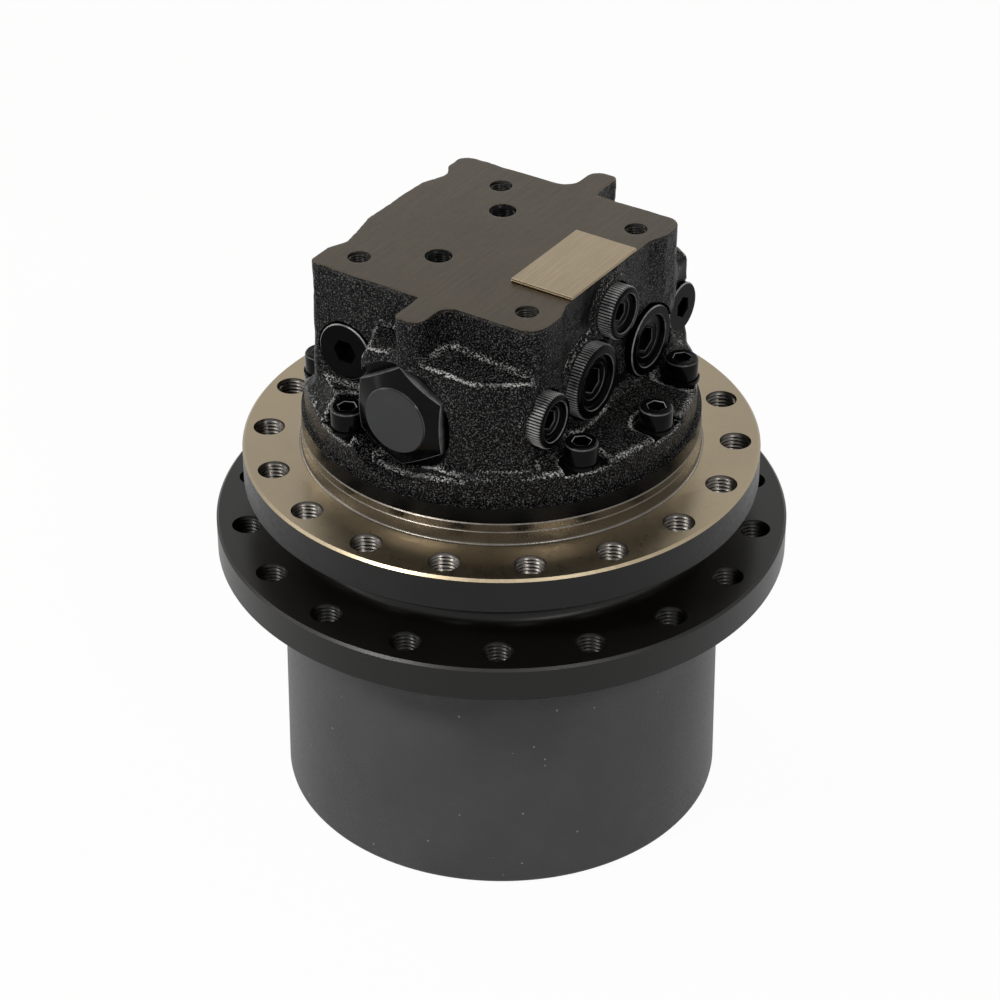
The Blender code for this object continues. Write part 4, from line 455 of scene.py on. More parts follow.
def placed(name, data, place=(0.0, 0.0, 0.0), target=None):
    """Puts an object into the scene, looking at a target where one is given."""
    made = bpy.data.objects.new(name, data)
    made.location = place
    if target is not None:
        made.rotation_euler = (Vector(target) - Vector(place)).to_track_quat("-Z", "Y").to_euler()
    bpy.context.scene.collection.objects.link(made)
    return made


def meshed(name, points, faces, slots, materials):
    """Mesh with a material slot for each face."""
    mesh = bpy.data.meshes.new(name)
    mesh.from_pydata(points.tolist(), [], faces.tolist())
    mesh.polygons.foreach_set("material_index", slots.astype(np.int32))
    for material in materials:
        mesh.materials.append(material)
    return mesh


def marked(mesh, name, values):
    """Gives the mesh an attribute with one value at each point."""
    mesh.attributes.new(name, "FLOAT", "POINT").data.foreach_set("value", values.astype(np.float32))


class Shell:
    """Collects patches of quads into one mesh; patches that meet share their points once it is built."""

    def __init__(self):
        self.points = []
        self.faces = []
        self.slots = []
        self.wear_and_highlight = []
        self.count = 0

    def add(self, points, faces, slot=0, wear_and_highlight=None):
        """Adds a patch in one material slot, with its share of pale edge at each point, partly wear and
        partly painted highlight.
        """
        points = np.asarray(points, float).reshape(-1, 3)
        self.points.append(points)
        self.faces.append(np.asarray(faces, int) + self.count)
        self.slots.append(np.full(len(faces), slot))
        self.wear_and_highlight.append(np.zeros(len(points)) if wear_and_highlight is None else wear_and_highlight)
        self.count += len(points)

    def grid(self, levels, slot=0, closed=False, wear_and_highlight=None):
        """Adds quads over levels of points that each run round a full turn."""
        self.add(levels, quads(*levels.shape[:2], closed), slot, wear_and_highlight)

    def build(self, name, materials, sharp=32.0, matrix=None):
        """Makes the object, its edges sharp past an angle in degrees."""
        parts = [np.concatenate(part) for part in (self.points, self.faces, self.slots)]
        mesh = meshed(name, *parts, materials)
        marked(mesh, "wear_and_highlight", np.concatenate(self.wear_and_highlight))
        shape = bmesh.new()
        shape.from_mesh(mesh)
        bmesh.ops.remove_doubles(shape, verts=shape.verts, dist=WELD)
        bmesh.ops.recalc_face_normals(shape, faces=shape.faces)
        shape.to_mesh(mesh)
        shape.free()
        if matrix is not None:
            mesh.transform(matrix)
        mesh.shade_smooth()
        mesh.set_sharp_from_angle(angle=math.radians(sharp))
        return placed(name, mesh)


def turn_angles(segments):
    """Angles round a full turn."""
    return np.arange(segments) * math.tau / segments


def ring(radius, height, angles, centre=(0.0, 0.0)):
    """Points round an axis; radius and height may be numbers or hold one value for each angle."""
    x = centre[0] + radius * np.cos(angles)
    y = centre[1] + radius * np.sin(angles)
    return np.stack([x, y, np.full(angles.shape, height)], 1)


def turned(shell, profile, angles, slot=0, closed=False):
    """Adds a turned surface through (radius, height) or (radius, height, pale edge) levels; the pale edge is
    partly wear and partly painted highlight.
    """
    levels = np.stack([ring(level[0], level[1], angles) for level in profile])
    wear_and_highlight = [np.broadcast_to(level[2] if len(level) > 2 else 0.0, angles.shape) for level in profile]
    shell.grid(levels, slot, closed, np.concatenate(wear_and_highlight))


def strip(shell, corners, slot=0):
    """Adds an open band through four lines of points, with a face at each end."""
    band = np.stack(corners, 1)
    last = 4 * len(band) - 1
    ends = [[0, 1, 2, 3], [last, last - 1, last - 2, last - 3]]
    shell.add(band, np.concatenate([quads(len(band), 4), ends]), slot)


def quarter(centre, radius, start, end, steps=4):
    """(radius, height) points along an arc of a profile, angles in degrees."""
    spread = np.radians(np.linspace(start, end, steps + 1))
    return [(centre[0] + radius * math.cos(a), centre[1] + radius * math.sin(a)) for a in spread]


def hexed(across_flats, angles):
    """Radius of a hexagon's outline at each angle."""
    return across_flats / 2 / np.cos(np.mod(angles, math.pi / 3) - math.pi / 6)


def threaded_levels(
    radius, top, bottom, angles, centre, pitch=THREAD_PITCH, depth=THREAD_DEPTH, mouth=HOLE_MOUTH
):
    """Levels down a threaded hole: chamfered mouth, helical thread, chamfered far end."""
    run = top - bottom - 2 * mouth
    count = int(run / pitch * SAMPLES_PER_PITCH)
    levels = [ring(radius + mouth, top, angles, centre)]
    for step in range(count + 1):
        height = top - mouth - run * step / count
        wave = 0.5 + 0.5 * np.cos(math.tau * height / pitch - angles)
        fade = min(1.0, step / 3, (count - step) / 3)
        levels.append(ring(radius + depth * (1 - fade * wave**0.7), height, angles, centre))
    levels.append(ring(radius + mouth, bottom, angles, centre))
    return np.stack(levels)


def drilled_plates(shell, inner, outer, top, bottom, circle, phase, slot, hole_slot):
    """Upper and lower face of a flange with its ring of threaded holes, one sector for each hole."""
    half = math.pi / HOLE_COUNT
    along = LARGE_TURN // HOLE_COUNT
    across = 8
    sweep = np.linspace(-half, half, along + 1)
    reach = np.linspace(inner, outer, across + 1)
    border = [(outer, a) for a in sweep[:-1]]
    border += [(r, half) for r in reach[::-1][:-1]]
    border += [(inner, a) for a in sweep[::-1][:-1]]
    border += [(r, -half) for r in reach[:-1]]
    border = np.array(border)
    for index in range(HOLE_COUNT):
        turn = phase + index * math.tau / HOLE_COUNT
        x = border[:, 0] * np.cos(border[:, 1] + turn)
        y = border[:, 0] * np.sin(border[:, 1] + turn)
        centre = (circle * math.cos(turn), circle * math.sin(turn))
        angles = np.arctan2(y - centre[1], x - centre[0])
        wall = threaded_levels(HOLE_RADIUS, top, bottom, angles, centre)
        shell.grid(wall, hole_slot)
        for height, loop in ((top, wall[0]), (bottom, wall[-1])):
            shell.grid(np.stack([loop, np.stack([x, y, np.full(x.shape, height)], 1)]), slot)


def make_drum(finishes):
    """Drum with its sprocket flange and neck: cast wall, machined flange, threaded holes, cover bore."""
    shell = Shell()
    angles = turn_angles(LARGE_TURN)
    foot = quarter((DRUM_FOOT_RADIUS - DRUM_EDGE, DRUM_EDGE), DRUM_EDGE, -90, 0)
    root = quarter((DRUM_TOP_RADIUS + FLANGE_ROOT, FLANGE_BOTTOM - FLANGE_ROOT), FLANGE_ROOT, 180, 90)
    turned(shell, foot + root, angles, 0)
    outer = FLANGE_RADIUS - FLANGE_EDGE
    edge = [
        (outer, FLANGE_BOTTOM, 0.4), (FLANGE_RADIUS, FLANGE_BOTTOM + FLANGE_EDGE, 0.4),
        (FLANGE_RADIUS, FLANGE_TOP - FLANGE_EDGE, 0.4), (outer, FLANGE_TOP, 0.4),
    ]
    turned(shell, edge, angles, 1)
    neck = quarter((NECK_RADIUS + NECK_FILLET, FLANGE_TOP + NECK_FILLET), NECK_FILLET, -90, -180, 8)
    neck += [(NECK_RADIUS, NECK_TOP - NECK_EDGE), (NECK_RADIUS - NECK_EDGE, NECK_TOP)]
    turned(shell, neck, angles, 1)
    seal_floor = NECK_TOP - SEAL_SEAT_DEPTH
    groove = COVER_BORE + COVER_GROOVE_DEPTH
    inside = [
        (SEAL_SEAT_RADIUS, NECK_TOP), (SEAL_SEAT_RADIUS, seal_floor), (SEAL_BORE, seal_floor),
        (SEAL_BORE, BEARING_SHELF), (BEARING_BORE, BEARING_SHELF), (BEARING_BORE, RING_GEAR_TOP),
        (GEAR_SPACE_RADIUS, RING_GEAR_TOP), (GEAR_SPACE_RADIUS, COVER_SHELF), (COVER_BORE, COVER_SHELF),
        (COVER_BORE, COVER_GROOVE_TOP), (groove, COVER_GROOVE_TOP), (groove, COVER_GROOVE_LOW),
        (COVER_BORE, COVER_GROOVE_LOW), (COVER_BORE, 0.0006), (COVER_BORE + 0.0006, 0.0),
    ]
    turned(shell, neck[-1:] + inside + foot[:1], angles, 2)
    inner = DRUM_TOP_RADIUS + FLANGE_ROOT
    drilled_plates(shell, inner, outer, FLANGE_TOP, FLANGE_BOTTOM, SPROCKET_CIRCLE, SPROCKET_PHASE, 1, 3)
    turned(shell, [(NECK_RADIUS + NECK_FILLET, FLANGE_TOP), (inner, FLANGE_TOP)], angles, 1)
    drum = shell.build("drum_body", finishes)
    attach(drum, "drum")
    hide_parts("hub_drum")


def make_ring_gear(material):
    """The ring gear's teeth inside the drum."""
    angles = turn_angles(RING_TEETH * 8)
    wave = np.clip(1.5 * np.cos(angles * RING_TEETH), -1, 1) * 0.5 + 0.5
    flanks = GEAR_SPACE_RADIUS - (GEAR_SPACE_RADIUS - RING_TIP_RADIUS) * (1 - wave)
    shell = Shell()
    outer = GEAR_SPACE_RADIUS + 0.0003
    low, high = RING_GEAR_BOTTOM, RING_GEAR_TOP
    profile = [(flanks, low), (outer, low), (outer, high), (flanks, high)]
    turned(shell, profile, angles, 0, True)
    gear = shell.build("ring_gear", [material])
    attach(gear, "drum")


def make_frame_flange(finishes):
    """Spindle with the frame flange and boss: turned faces, painted rim, threaded holes."""
    shell = Shell()
    angles = turn_angles(LARGE_TURN)
    inner = BOSS_RADIUS + BOSS_ROOT
    outer = FRAME_RADIUS - FLANGE_EDGE
    edge = [
        (outer, FRAME_BOTTOM, 0.3), (FRAME_RADIUS, FRAME_BOTTOM + FLANGE_EDGE, 0.3),
        (FRAME_RADIUS, FRAME_TOP - FLANGE_EDGE, 0.3),
    ]
    turned(shell, edge, angles, 1)
    turned(shell, [(FRAME_RADIUS, FRAME_TOP - FLANGE_EDGE), (outer, FRAME_TOP)], angles, 0)
    boss = quarter((inner, FRAME_TOP + BOSS_ROOT), BOSS_ROOT, -90, -180, 4)
    line = FRAME_TOP + BOSS_LINE_SHARE * (BOSS_TOP - FRAME_TOP)
    boss += [
        (BOSS_RADIUS, line - BOSS_LINE), (BOSS_RADIUS - BOSS_LINE, line),
        (BOSS_RADIUS, line + BOSS_LINE), (BOSS_RADIUS, BOSS_TOP - 0.0005),
        (BOSS_RADIUS - 0.0005, BOSS_TOP),
    ]
    turned(shell, boss, angles, 2)
    seal_top = FRAME_BOTTOM + SEAL_SEAT_DEPTH
    inside = [
        (MOTOR_BORE, BOSS_TOP), (MOTOR_BORE, MOTOR_FLOOR), (SHAFT_BORE, MOTOR_FLOOR),
        (SHAFT_BORE, STEM_BOTTOM), (STEM_TIP_RADIUS, STEM_BOTTOM), (STEM_TIP_RADIUS, STEM_SHOULDER),
        (STEM_RADIUS, STEM_SHOULDER), (STEM_RADIUS, seal_top), (SEAL_SEAT_RADIUS, seal_top),
        (SEAL_SEAT_RADIUS, FRAME_BOTTOM),
    ]
    turned(shell, boss[-1:] + inside, angles, 4)
    drilled_plates(shell, inner, outer, FRAME_TOP, FRAME_BOTTOM, FRAME_CIRCLE, FRAME_PHASE, 0, 3)
    turned(shell, [(SEAL_SEAT_RADIUS, FRAME_BOTTOM), (inner, FRAME_BOTTOM)], angles, 0)
    flange = shell.build("frame_flange", finishes)
    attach(flange, "housing")
    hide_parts("spindle")


def corner_points(corners):
    """Outline through (x, y, radius) corners, each rounded by an arc."""
    points = []
    for index, (x, y, radius) in enumerate(corners):
        corner = Vector((x, y))
        before = Vector(corners[index - 1][:2]) - corner
        after = Vector(corners[(index + 1) % len(corners)][:2]) - corner
        half = before.angle(after) / 2
        reach = min(radius / math.tan(half), 0.49 * min(before.length, after.length))
        true_radius = reach * math.tan(half)
        towards = (before.normalized() + after.normalized()).normalized()
        middle = corner + towards * true_radius / math.sin(half)
        first = corner + before.normalized() * reach - middle
        last = corner + after.normalized() * reach - middle
        turn = first.angle_signed(last)
        for step in range(7):
            spoke = first.copy()
            spoke.rotate(Matrix.Rotation(-turn * step / 6, 2))
            points.append(tuple(middle + spoke))
    return np.array(points)


def plate_outline():
    """Outline of the block's machined top face: corner lobes, a narrow tab to the front and back."""
    left, right, waist = -0.0657, 0.0615, BLOCK_WALL
    front, back = -FRONT_WALL, 0.0655
    tab_left, tab_right, tab = -0.00275, 0.01175, 0.0215
    corners = [
        (left, front, 0.004), (tab_left, front, 0.0015), (tab_left, front - tab, 0.004),
        (tab_right, front - tab, 0.007), (tab_right, front, 0.008), (right, front, 0.011),
        (right, front + 0.021, 0.006), (waist, front + 0.030, 0.008), (waist, back - 0.026, 0.008),
        (right, back - 0.016, 0.006), (right, back, 0.009), (tab_right, back, 0.0015),
        (tab_right, back + tab, 0.004), (tab_left, back + tab, 0.007), (tab_left, back, 0.008),
        (left, back, 0.006), (left, back - 0.014, 0.004), (left + 0.005, back - 0.022, 0.006),
        (left - 0.001, back - 0.036, 0.010), (left - 0.001, front + 0.050, 0.010),
        (left + 0.0045, front + 0.026, 0.006), (left, front + 0.016, 0.004),
    ]
    return corner_points(corners)


def distance_map(outline):
    """Signed distance to a closed outline on a square grid, negative inside."""
    line = np.arange(-MAP_REACH, MAP_REACH + MAP_STEP, MAP_STEP)
    x, y = np.meshgrid(line, line, indexing="ij")
    nearest = np.full(x.shape, 1.0)
    inside = np.zeros(x.shape, bool)
    for (ax, ay), (bx, by) in zip(outline, np.roll(outline, -1, 0)):
        dx, dy = bx - ax, by - ay
        along = np.clip(((x - ax) * dx + (y - ay) * dy) / (dx * dx + dy * dy), 0, 1)
        nearest = np.minimum(nearest, np.hypot(x - ax - along * dx, y - ay - along * dy))
        if ay != by:
            inside ^= ((ay > y) != (by > y)) & (x < dx * (y - ay) / dy + ax)
    return np.where(inside, -nearest, nearest)


def sampled(table, x, y):
    """Value of the map at any points, between its four nearest entries."""
    u = np.clip((x + MAP_REACH) / MAP_STEP, 0, len(table) - 1.001)
    v = np.clip((y + MAP_REACH) / MAP_STEP, 0, len(table) - 1.001)
    i, j = u.astype(int), v.astype(int)
    s, t = u - i, v - j
    low = table[i, j] * (1 - s) + table[i + 1, j] * s
    high = table[i, j + 1] * (1 - s) + table[i + 1, j + 1] * s
    return low * (1 - t) + high * t


def blended(a, b, reach):
    """Smooth union of two distances; the reach is the size of the fillet between them."""
    share = np.clip(0.5 + 0.5 * (b - a) / reach, 0, 1)
    return b + (a - b) * share - reach * share * (1 - share)


def crossed(a, b, reach):
    """Smooth intersection of two distances, with its edge rounded."""
    return -blended(-a, -b, reach)


def carved(a, cutter, reach):
    """Smooth subtraction of a cutter."""
    return crossed(a, -cutter, reach)


def left_of(x, y, degrees):
    """Distance to the left of a ray from the axis."""
    angle = math.radians(degrees)
    return -x * math.sin(angle) + y * math.cos(angle)


def lumps(x, y, z):
    """Slow unevenness of the cast skin, from random heights on three lattices."""
    total = 0.0
    for size, height in LUMPS:
        cells = []
        shares = []
        for value in (x, y, z):
            place = value / size + LATTICE
            cell = np.floor(place).astype(int)
            share = place - cell
            cells.append(cell)
            shares.append(share * share * (3 - 2 * share))
        level = 0.0
        for corner in range(8):
            side = [(corner >> axis) & 1 for axis in range(3)]
            index = [(cell + step) % LATTICE for cell, step in zip(cells, side)]
            weight = 1.0
            for share, step in zip(shares, side):
                weight = weight * (share if step else 1 - share)
            level = level + weight * HEIGHTS[index[0], index[1], index[2]]
        total = total + height * level
    return total


def rough_casting(x, y, z, plate, even=False):
    """Distance to the unmachined casting, its skin even or uneven."""
    radius = np.hypot(x, y)
    angle = np.degrees(np.arctan2(y, x))
    front = np.clip(np.minimum(angle - RIM_DIP[0], RIM_DIP[1] - angle) / 6, 0, 1)
    rim_top = RIM_TOP + RIM_WAVE * np.sin(np.radians(angle * 2.0)) - (RIM_TOP - RIM_FRONT_TOP) * front
    foot = crossed(radius - CASTING_RADIUS, z - rim_top, 0.0030)
    body = crossed(plate, BLOCK_LOW - z, 0.001)
    shape = blended(foot, body, 0.0050)
    flank = (radius - (CASTING_RADIUS - 0.002) + FLANK_SLOPE * (z - RIM_TOP)) * 0.85
    flank = crossed(flank, radius - CASTING_RADIUS + 0.0010, FILLET)
    sides = np.maximum(-left_of(x, y, SKIRT_SIDES[0]), left_of(x, y, SKIRT_SIDES[1]))
    skirt_top = np.where(y < SHELF_BACK, SHELF_TOP, SKIRT_TOP)
    skirt = np.maximum(flank, np.maximum(z - skirt_top, sides))
    shape = blended(shape, skirt, 0.0030)
    end_x, end_y, end_turn = LEDGE_END
    past_end = (x - end_x) * math.sin(end_turn) - (y - end_y) * math.cos(end_turn)
    ledge = (z - LEDGE_LIP + LEDGE_SLOPE * (radius - FRONT_RADIUS)) / math.hypot(1, LEDGE_SLOPE)
    mass = crossed(radius - FRONT_RADIUS, -y - CAP_BOSS_FRONT, 0.0010)
    mass = crossed(mass, left_of(x, y, FRONT_MASS_SIDE), 0.0030)
    mass = crossed(crossed(mass, past_end, FILLET), ledge, 0.0016)
    shape = blended(shape, mass, 0.0030)
    back = np.maximum(x - BLOCK_WALL, radius - BACK_MASS_RADIUS)
    back = crossed(back, z - BACK_MASS_TOP, 0.0060)
    back = crossed(back, np.maximum(left_of(x, y, BACK_MASS_SIDE), BACK_MASS_START - y), 0.0040)
    shape = blended(shape, back, 0.0050)
    barrel = np.hypot(x - SPOOL_X, z - SPOOL_Z) - CAP_BOSS_RADIUS
    face = np.where(y < 0, -y - CAP_BOSS_FRONT, y - CAP_BOSS_REAR)
    boss = crossed(barrel, face, 0.0030)
    shape = blended(shape, boss, 0.0024)
    for _, across, height, reach, _, _ in WALL_PLUGS[:3]:
        lip = np.hypot(y - across, z - height) - reach - PLUG_BOSS_WIDTH
        depth = np.maximum(x - BLOCK_WALL - PLUG_BOSS_HEIGHT, 0.030 - x)
        shape = blended(shape, crossed(lip, depth, FILLET), 0.0035)
    return shape if even else shape + lumps(x, y, z)


def screw_pockets(x, y, z):
    """Distance to the clearances over the cap screws, open upwards and outwards."""
    nearest = None
    for degrees in SCREW_ANGLES:
        turn = math.radians(degrees)
        out = x * math.cos(turn) + y * math.sin(turn) - SCREW_CIRCLE
        side = -x * math.sin(turn) + y * math.cos(turn)
        slot = np.where(out < 0, np.hypot(out, side), np.abs(side) - POCKET_FLARE * out) - POCKET_RADIUS
        pocket = np.maximum(slot, np.maximum(SCREW_SEAT - z, z - SCREW_SEAT - POCKET_HEIGHT))
        nearest = pocket if nearest is None else np.minimum(nearest, pocket)
    return nearest


def machined_cuts(x, y, z):
    """Distance to everything that is bored or spotfaced, negative inside a cutter."""
    cuts = []
    across = np.hypot(x - SPOOL_X, z - SPOOL_Z)
    for depth in (-y - CAP_BOSS_FRONT, y - CAP_BOSS_REAR):
        cuts.append(np.maximum(across - CAP_RECESS_RADIUS, -CAP_RECESS_DEPTH - depth))
        cuts.append(np.maximum(across - CAP_BORE, -CAP_RECESS_DEPTH - CAP_BORE_DEPTH - depth))
    cuts.append(across - SPOOL_BORE + 0 * y)
    holes = [(np.hypot(y - plug[1], z - plug[2]), plug[3], WALL_SEAT - x) for plug in WALL_PLUGS]
    holes.append((np.hypot(x - FRONT_PLUG[1], z - FRONT_PLUG[2]), FRONT_PLUG[3], y + FRONT_SEAT))
    for across, reach, depth in holes:
        cuts.append(np.maximum(across - reach - PLUG_SPOTFACE, depth - SEAT_GAP))
        cuts.append(np.maximum(across - reach * PLUG_BORE - SEAT_GAP, depth - PLUG_BORE_DEPTH))
    for hole_x, hole_y, radius, depth in TOP_HOLES:
        cuts.append(np.maximum(np.hypot(x - hole_x, y - hole_y) - radius - 0.0006, BLOCK_TOP - depth - z))
    radius, height = SHAFT_RECESS
    cuts.append(np.maximum(np.hypot(x, y) - radius, z - BLOCK_LOW - height))
    return cuts


def even_skin(x, y, z):
    """Distance to the casting and its screw pockets, without unevenness or machined cuts."""
    shape = rough_casting(x, y, z, sampled(PLATE_MAP, x, y), True)
    return carved(shape, screw_pockets(x, y, z), FILLET)


def lip_highlight_mask(points):
    """Where painted highlights go: how sharply the casting turns at each point that faces upwards, 0 on walls
    and floors, 1 on lips.
    """
    total = -6 * even_skin(*points.T)
    slope = []
    for axis in range(3):
        shift = np.zeros(3)
        shift[axis] = BEND_STEP
        ahead = even_skin(*(points + shift).T)
        behind = even_skin(*(points - shift).T)
        total = total + ahead + behind
        slope.append(ahead - behind)
    turn = abs(total) / BEND_STEP**2 * 0.001
    rise = slope[2] / (np.linalg.norm(slope, axis=0) + 1e-12)
    return np.clip((turn - 0.12) / 0.30, 0, 1) * np.clip((rise - 0.05) / 0.35, 0, 1)


def block_field(x, y, z):
    """Distance to the finished valve block, negative inside."""
    shape = rough_casting(x, y, z, sampled(PLATE_MAP, x, y))
    shape = carved(shape, screw_pockets(x, y, z), FILLET)
    band = np.maximum(np.hypot(x, y) - BAND_RADIUS, z - BAND_TOP)
    shape = np.minimum(np.maximum(shape, z - BLOCK_TOP), band)
    shape = np.maximum(shape, BLOCK_LOW - z)
    for cutter in machined_cuts(x, y, z):
        shape = np.maximum(shape, -cutter)
    return shape


def contour(field, low, high, step):
    """Surface where a distance field is zero: a point in each cell that it crosses, drawn to its edges."""
    axes = [np.arange(a, b + step, step) for a, b in zip(low, high)]
    values = field(axes[0][:, None, None], axes[1][None, :, None], axes[2][None, None, :])
    inside = values < 0
    origin = np.array([axis[0] for axis in axes])
    points, faces = [], []
    for axis in range(3):
        first, second = [slice(None)] * 3, [slice(None)] * 3
        first[axis], second[axis] = slice(0, -1), slice(1, None)
        places = np.argwhere(inside[tuple(first)] != inside[tuple(second)])
        ends = places.copy()
        ends[:, axis] += 1
        start = values[tuple(places.T)]
        share = start / (start - values[tuple(ends.T)])
        here = places.astype(float)
        here[:, axis] += share
        points.append(origin + step * here)
        corners = []
        for side, up in ((0, 0), (-1, 0), (-1, -1), (0, -1)):
            cell = places.copy()
            cell[:, (axis + 1) % 3] += side
            cell[:, (axis + 2) % 3] += up
            corners.append(np.ravel_multi_index(tuple(cell.T), values.shape))
        quad = np.stack(corners, 1)
        quad[start >= 0] = quad[start >= 0][:, ::-1]
        faces.append(quad)
    points = np.concatenate(points)
    reach = step * 0.1
    slope = []
    for axis in range(3):
        shift = np.zeros(3)
        shift[axis] = reach
        slope.append(field(*(points + shift).T) - field(*(points - shift).T))
    normals = np.stack(slope, 1)
    normals /= np.linalg.norm(normals, axis=1, keepdims=True) + 1e-12
    _, index = np.unique(np.concatenate(faces), return_inverse=True)
    index = index.reshape(-1)
    owner = np.repeat(np.arange(len(points)), 4)
    count = np.bincount(index)
    mean = np.stack([np.bincount(index, points[owner, a]) / count for a in range(3)], 1)
    offset = points[owner] - mean[index]
    facing = normals[owner]
    along = (facing * offset).sum(1)
    matrix = np.zeros((len(count), 3, 3))
    target = np.zeros((len(count), 3))
    for a in range(3):
        target[:, a] = np.bincount(index, facing[:, a] * along)
        for b in range(3):
            matrix[:, a, b] = np.bincount(index, facing[:, a] * facing[:, b])
    matrix += 0.06 * np.eye(3)
    moved = np.linalg.solve(matrix, target[..., None])[..., 0]
    length = np.linalg.norm(moved, axis=1, keepdims=True)
    moved *= np.minimum(1.0, 0.8 * step / (length + 1e-12))
    return mean + moved, index.reshape(-1, 4)


def make_block(finishes):
    """The cast valve block with its machined faces."""
    low = (-BLOCK_REACH, -BLOCK_REACH, BLOCK_LOW - 2.5 * CELL)
    high = (BLOCK_REACH, BLOCK_REACH, BLOCK_TOP + 2 * CELL)
    points, faces = contour(block_field, low, high, CELL)
    x, y, z = points[faces].mean(1).T
    first, second, third, fourth = (points[faces[:, corner]] for corner in range(4))
    normal = np.cross(third - first, fourth - second)
    normal /= np.linalg.norm(normal, axis=1, keepdims=True) + 1e-12
    recess = np.minimum(abs(y + CAP_BOSS_FRONT), abs(y - CAP_BOSS_REAR)) - CAP_RECESS_DEPTH
    slots = ((z > BLOCK_TOP - 0.0003) & (normal[:, 2] > 0.8)).astype(int)
    slots[(np.hypot(x, y) > BAND_RADIUS - 0.0004) & (z < BAND_TOP + 0.0004)] = 2
    slots[(abs(recess) < 0.0003) & (abs(normal[:, 1]) > 0.9)] = 2
    slots[(abs(x - WALL_SEAT) < 0.0005) & (normal[:, 0] > 0.9)] = 2
    slots[(abs(z - SCREW_SEAT) < 0.0003) & (normal[:, 2] > 0.95)] = 2
    mesh = meshed("valve_block_casting", points, faces, slots, finishes)
    # Painted highlight: a thin pale line just under the top face's edge
    marked(mesh, "wear_and_highlight", np.clip(1 - abs(points[:, 2] - BLOCK_TOP + CELL) / (0.6 * CELL), 0, 1))
    # Painted highlight: upward-facing lips and fillets get painted glints
    marked(mesh, "lip_highlight", lip_highlight_mask(points))
    mesh.shade_smooth()
    mesh.set_sharp_from_angle(angle=math.radians(52))
    block = placed("valve_block_casting", mesh)
    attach(block, "housing")
    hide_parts("valve_block")


def upright_matrix(outward, place):
    """Stands a piece made along +Z on a wall."""
    turn = Vector((0, 0, 1)).rotation_difference(Vector(outward)).to_matrix().to_4x4()
    return Matrix.Translation(place) @ turn


def make_plug(name, place, outward, radius, head, style, materials):
    """Screw plug: knurled or plain rim, stepped dish or flat face, hexagon socket."""
    knurled = style == "knurled"
    ridges = round(math.tau * radius / KNURL_PITCH)
    angles = turn_angles(ridges * 4 if knurled else SMALL_TURN * 2)
    shank = radius * PLUG_SHANK
    profile = [(0.0, -PLUG_LENGTH), (shank, -PLUG_LENGTH), (shank, 0.0), (radius - 0.0006, 0.0)]
    if knurled:
        saw = np.array([0.0, 1.0, 1.0, 0.0] * ridges)
        rim = radius - KNURL_DEPTH * saw
        bevel = 0.0012
        # Third values: pale knurl ridges and bevel, partly wear and partly painted highlight
        profile += [
            (rim, 0.0005, 1 - saw), (rim, head - bevel, 1 - saw),
            (rim - 0.0001, head - bevel + 0.0001, 1 - saw), (radius - bevel * 0.6, head - bevel * 0.3),
            (radius - bevel - 0.0002, head),
        ]
    else:
        bevel = 0.0006
        # Third values: pale bevel, partly wear and partly painted highlight
        profile += [
            (radius, 0.0004), (radius, head - bevel), (radius - 0.0001, head - bevel + 0.0001, 1.0),
            (radius - bevel + 0.0001, head - 0.0001, 1.0), (radius - bevel, head),
        ]
    if style == "flat":
        socket = hexed(radius * FLAT_PLUG_SOCKET, angles)
        bottom = head - 0.0062
        profile += [(socket + 0.0004, head), (socket, head - 0.0004)]
        profile += [(socket, bottom), (0.0, bottom - 0.0012)]
    else:
        profile += dished_face(radius, head, angles)
    shell = Shell()
    turned(shell, profile, angles)
    plug = shell.build(name + "_turned", materials, 30, upright_matrix(outward, place))
    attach(plug, "housing")
    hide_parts(name)


def dished_face(radius, head, angles):
    """Levels of a plug's stepped dish and its hexagon socket."""
    dish = radius * 0.74
    floor = head - min(0.0024, head * 0.55)
    step = radius * 0.50
    socket = hexed(radius * 0.60, angles)
    bottom = floor - 0.0042
    # Third values: pale rims of the dish and socket, partly wear and partly painted highlight
    return [
        (dish + 0.0004, head), (dish + 0.0003, head, 0.5), (dish, head - 0.0003, 0.5),
        (dish - 0.0001, head - 0.0005), (dish - 0.0006, floor + 0.0003), (dish - 0.0011, floor),
        (step + 0.0003, floor), (step + 0.0001, floor - 0.0001, 0.3), (step, floor - 0.0003, 0.3),
        (step, floor - 0.0007),
        (np.minimum(socket + 0.0006, step - 0.0002), floor - 0.0009),
        (np.minimum(socket + 0.0004, step - 0.0003), floor - 0.0010, 0.35),
        (socket, floor - 0.0014), (socket, bottom), (0.0, bottom - 0.0012),
    ]


def make_plugs(material):
    """All screw plugs."""
    for name, across, height, radius, head, style in WALL_PLUGS:
        make_plug(name, (WALL_SEAT, across, height), (1, 0, 0), radius, head, style, [material])
    name, across, height, radius, head, style = FRONT_PLUG
    make_plug(name, (across, -FRONT_SEAT, height), (0, -1, 0), radius, head, style, [material])


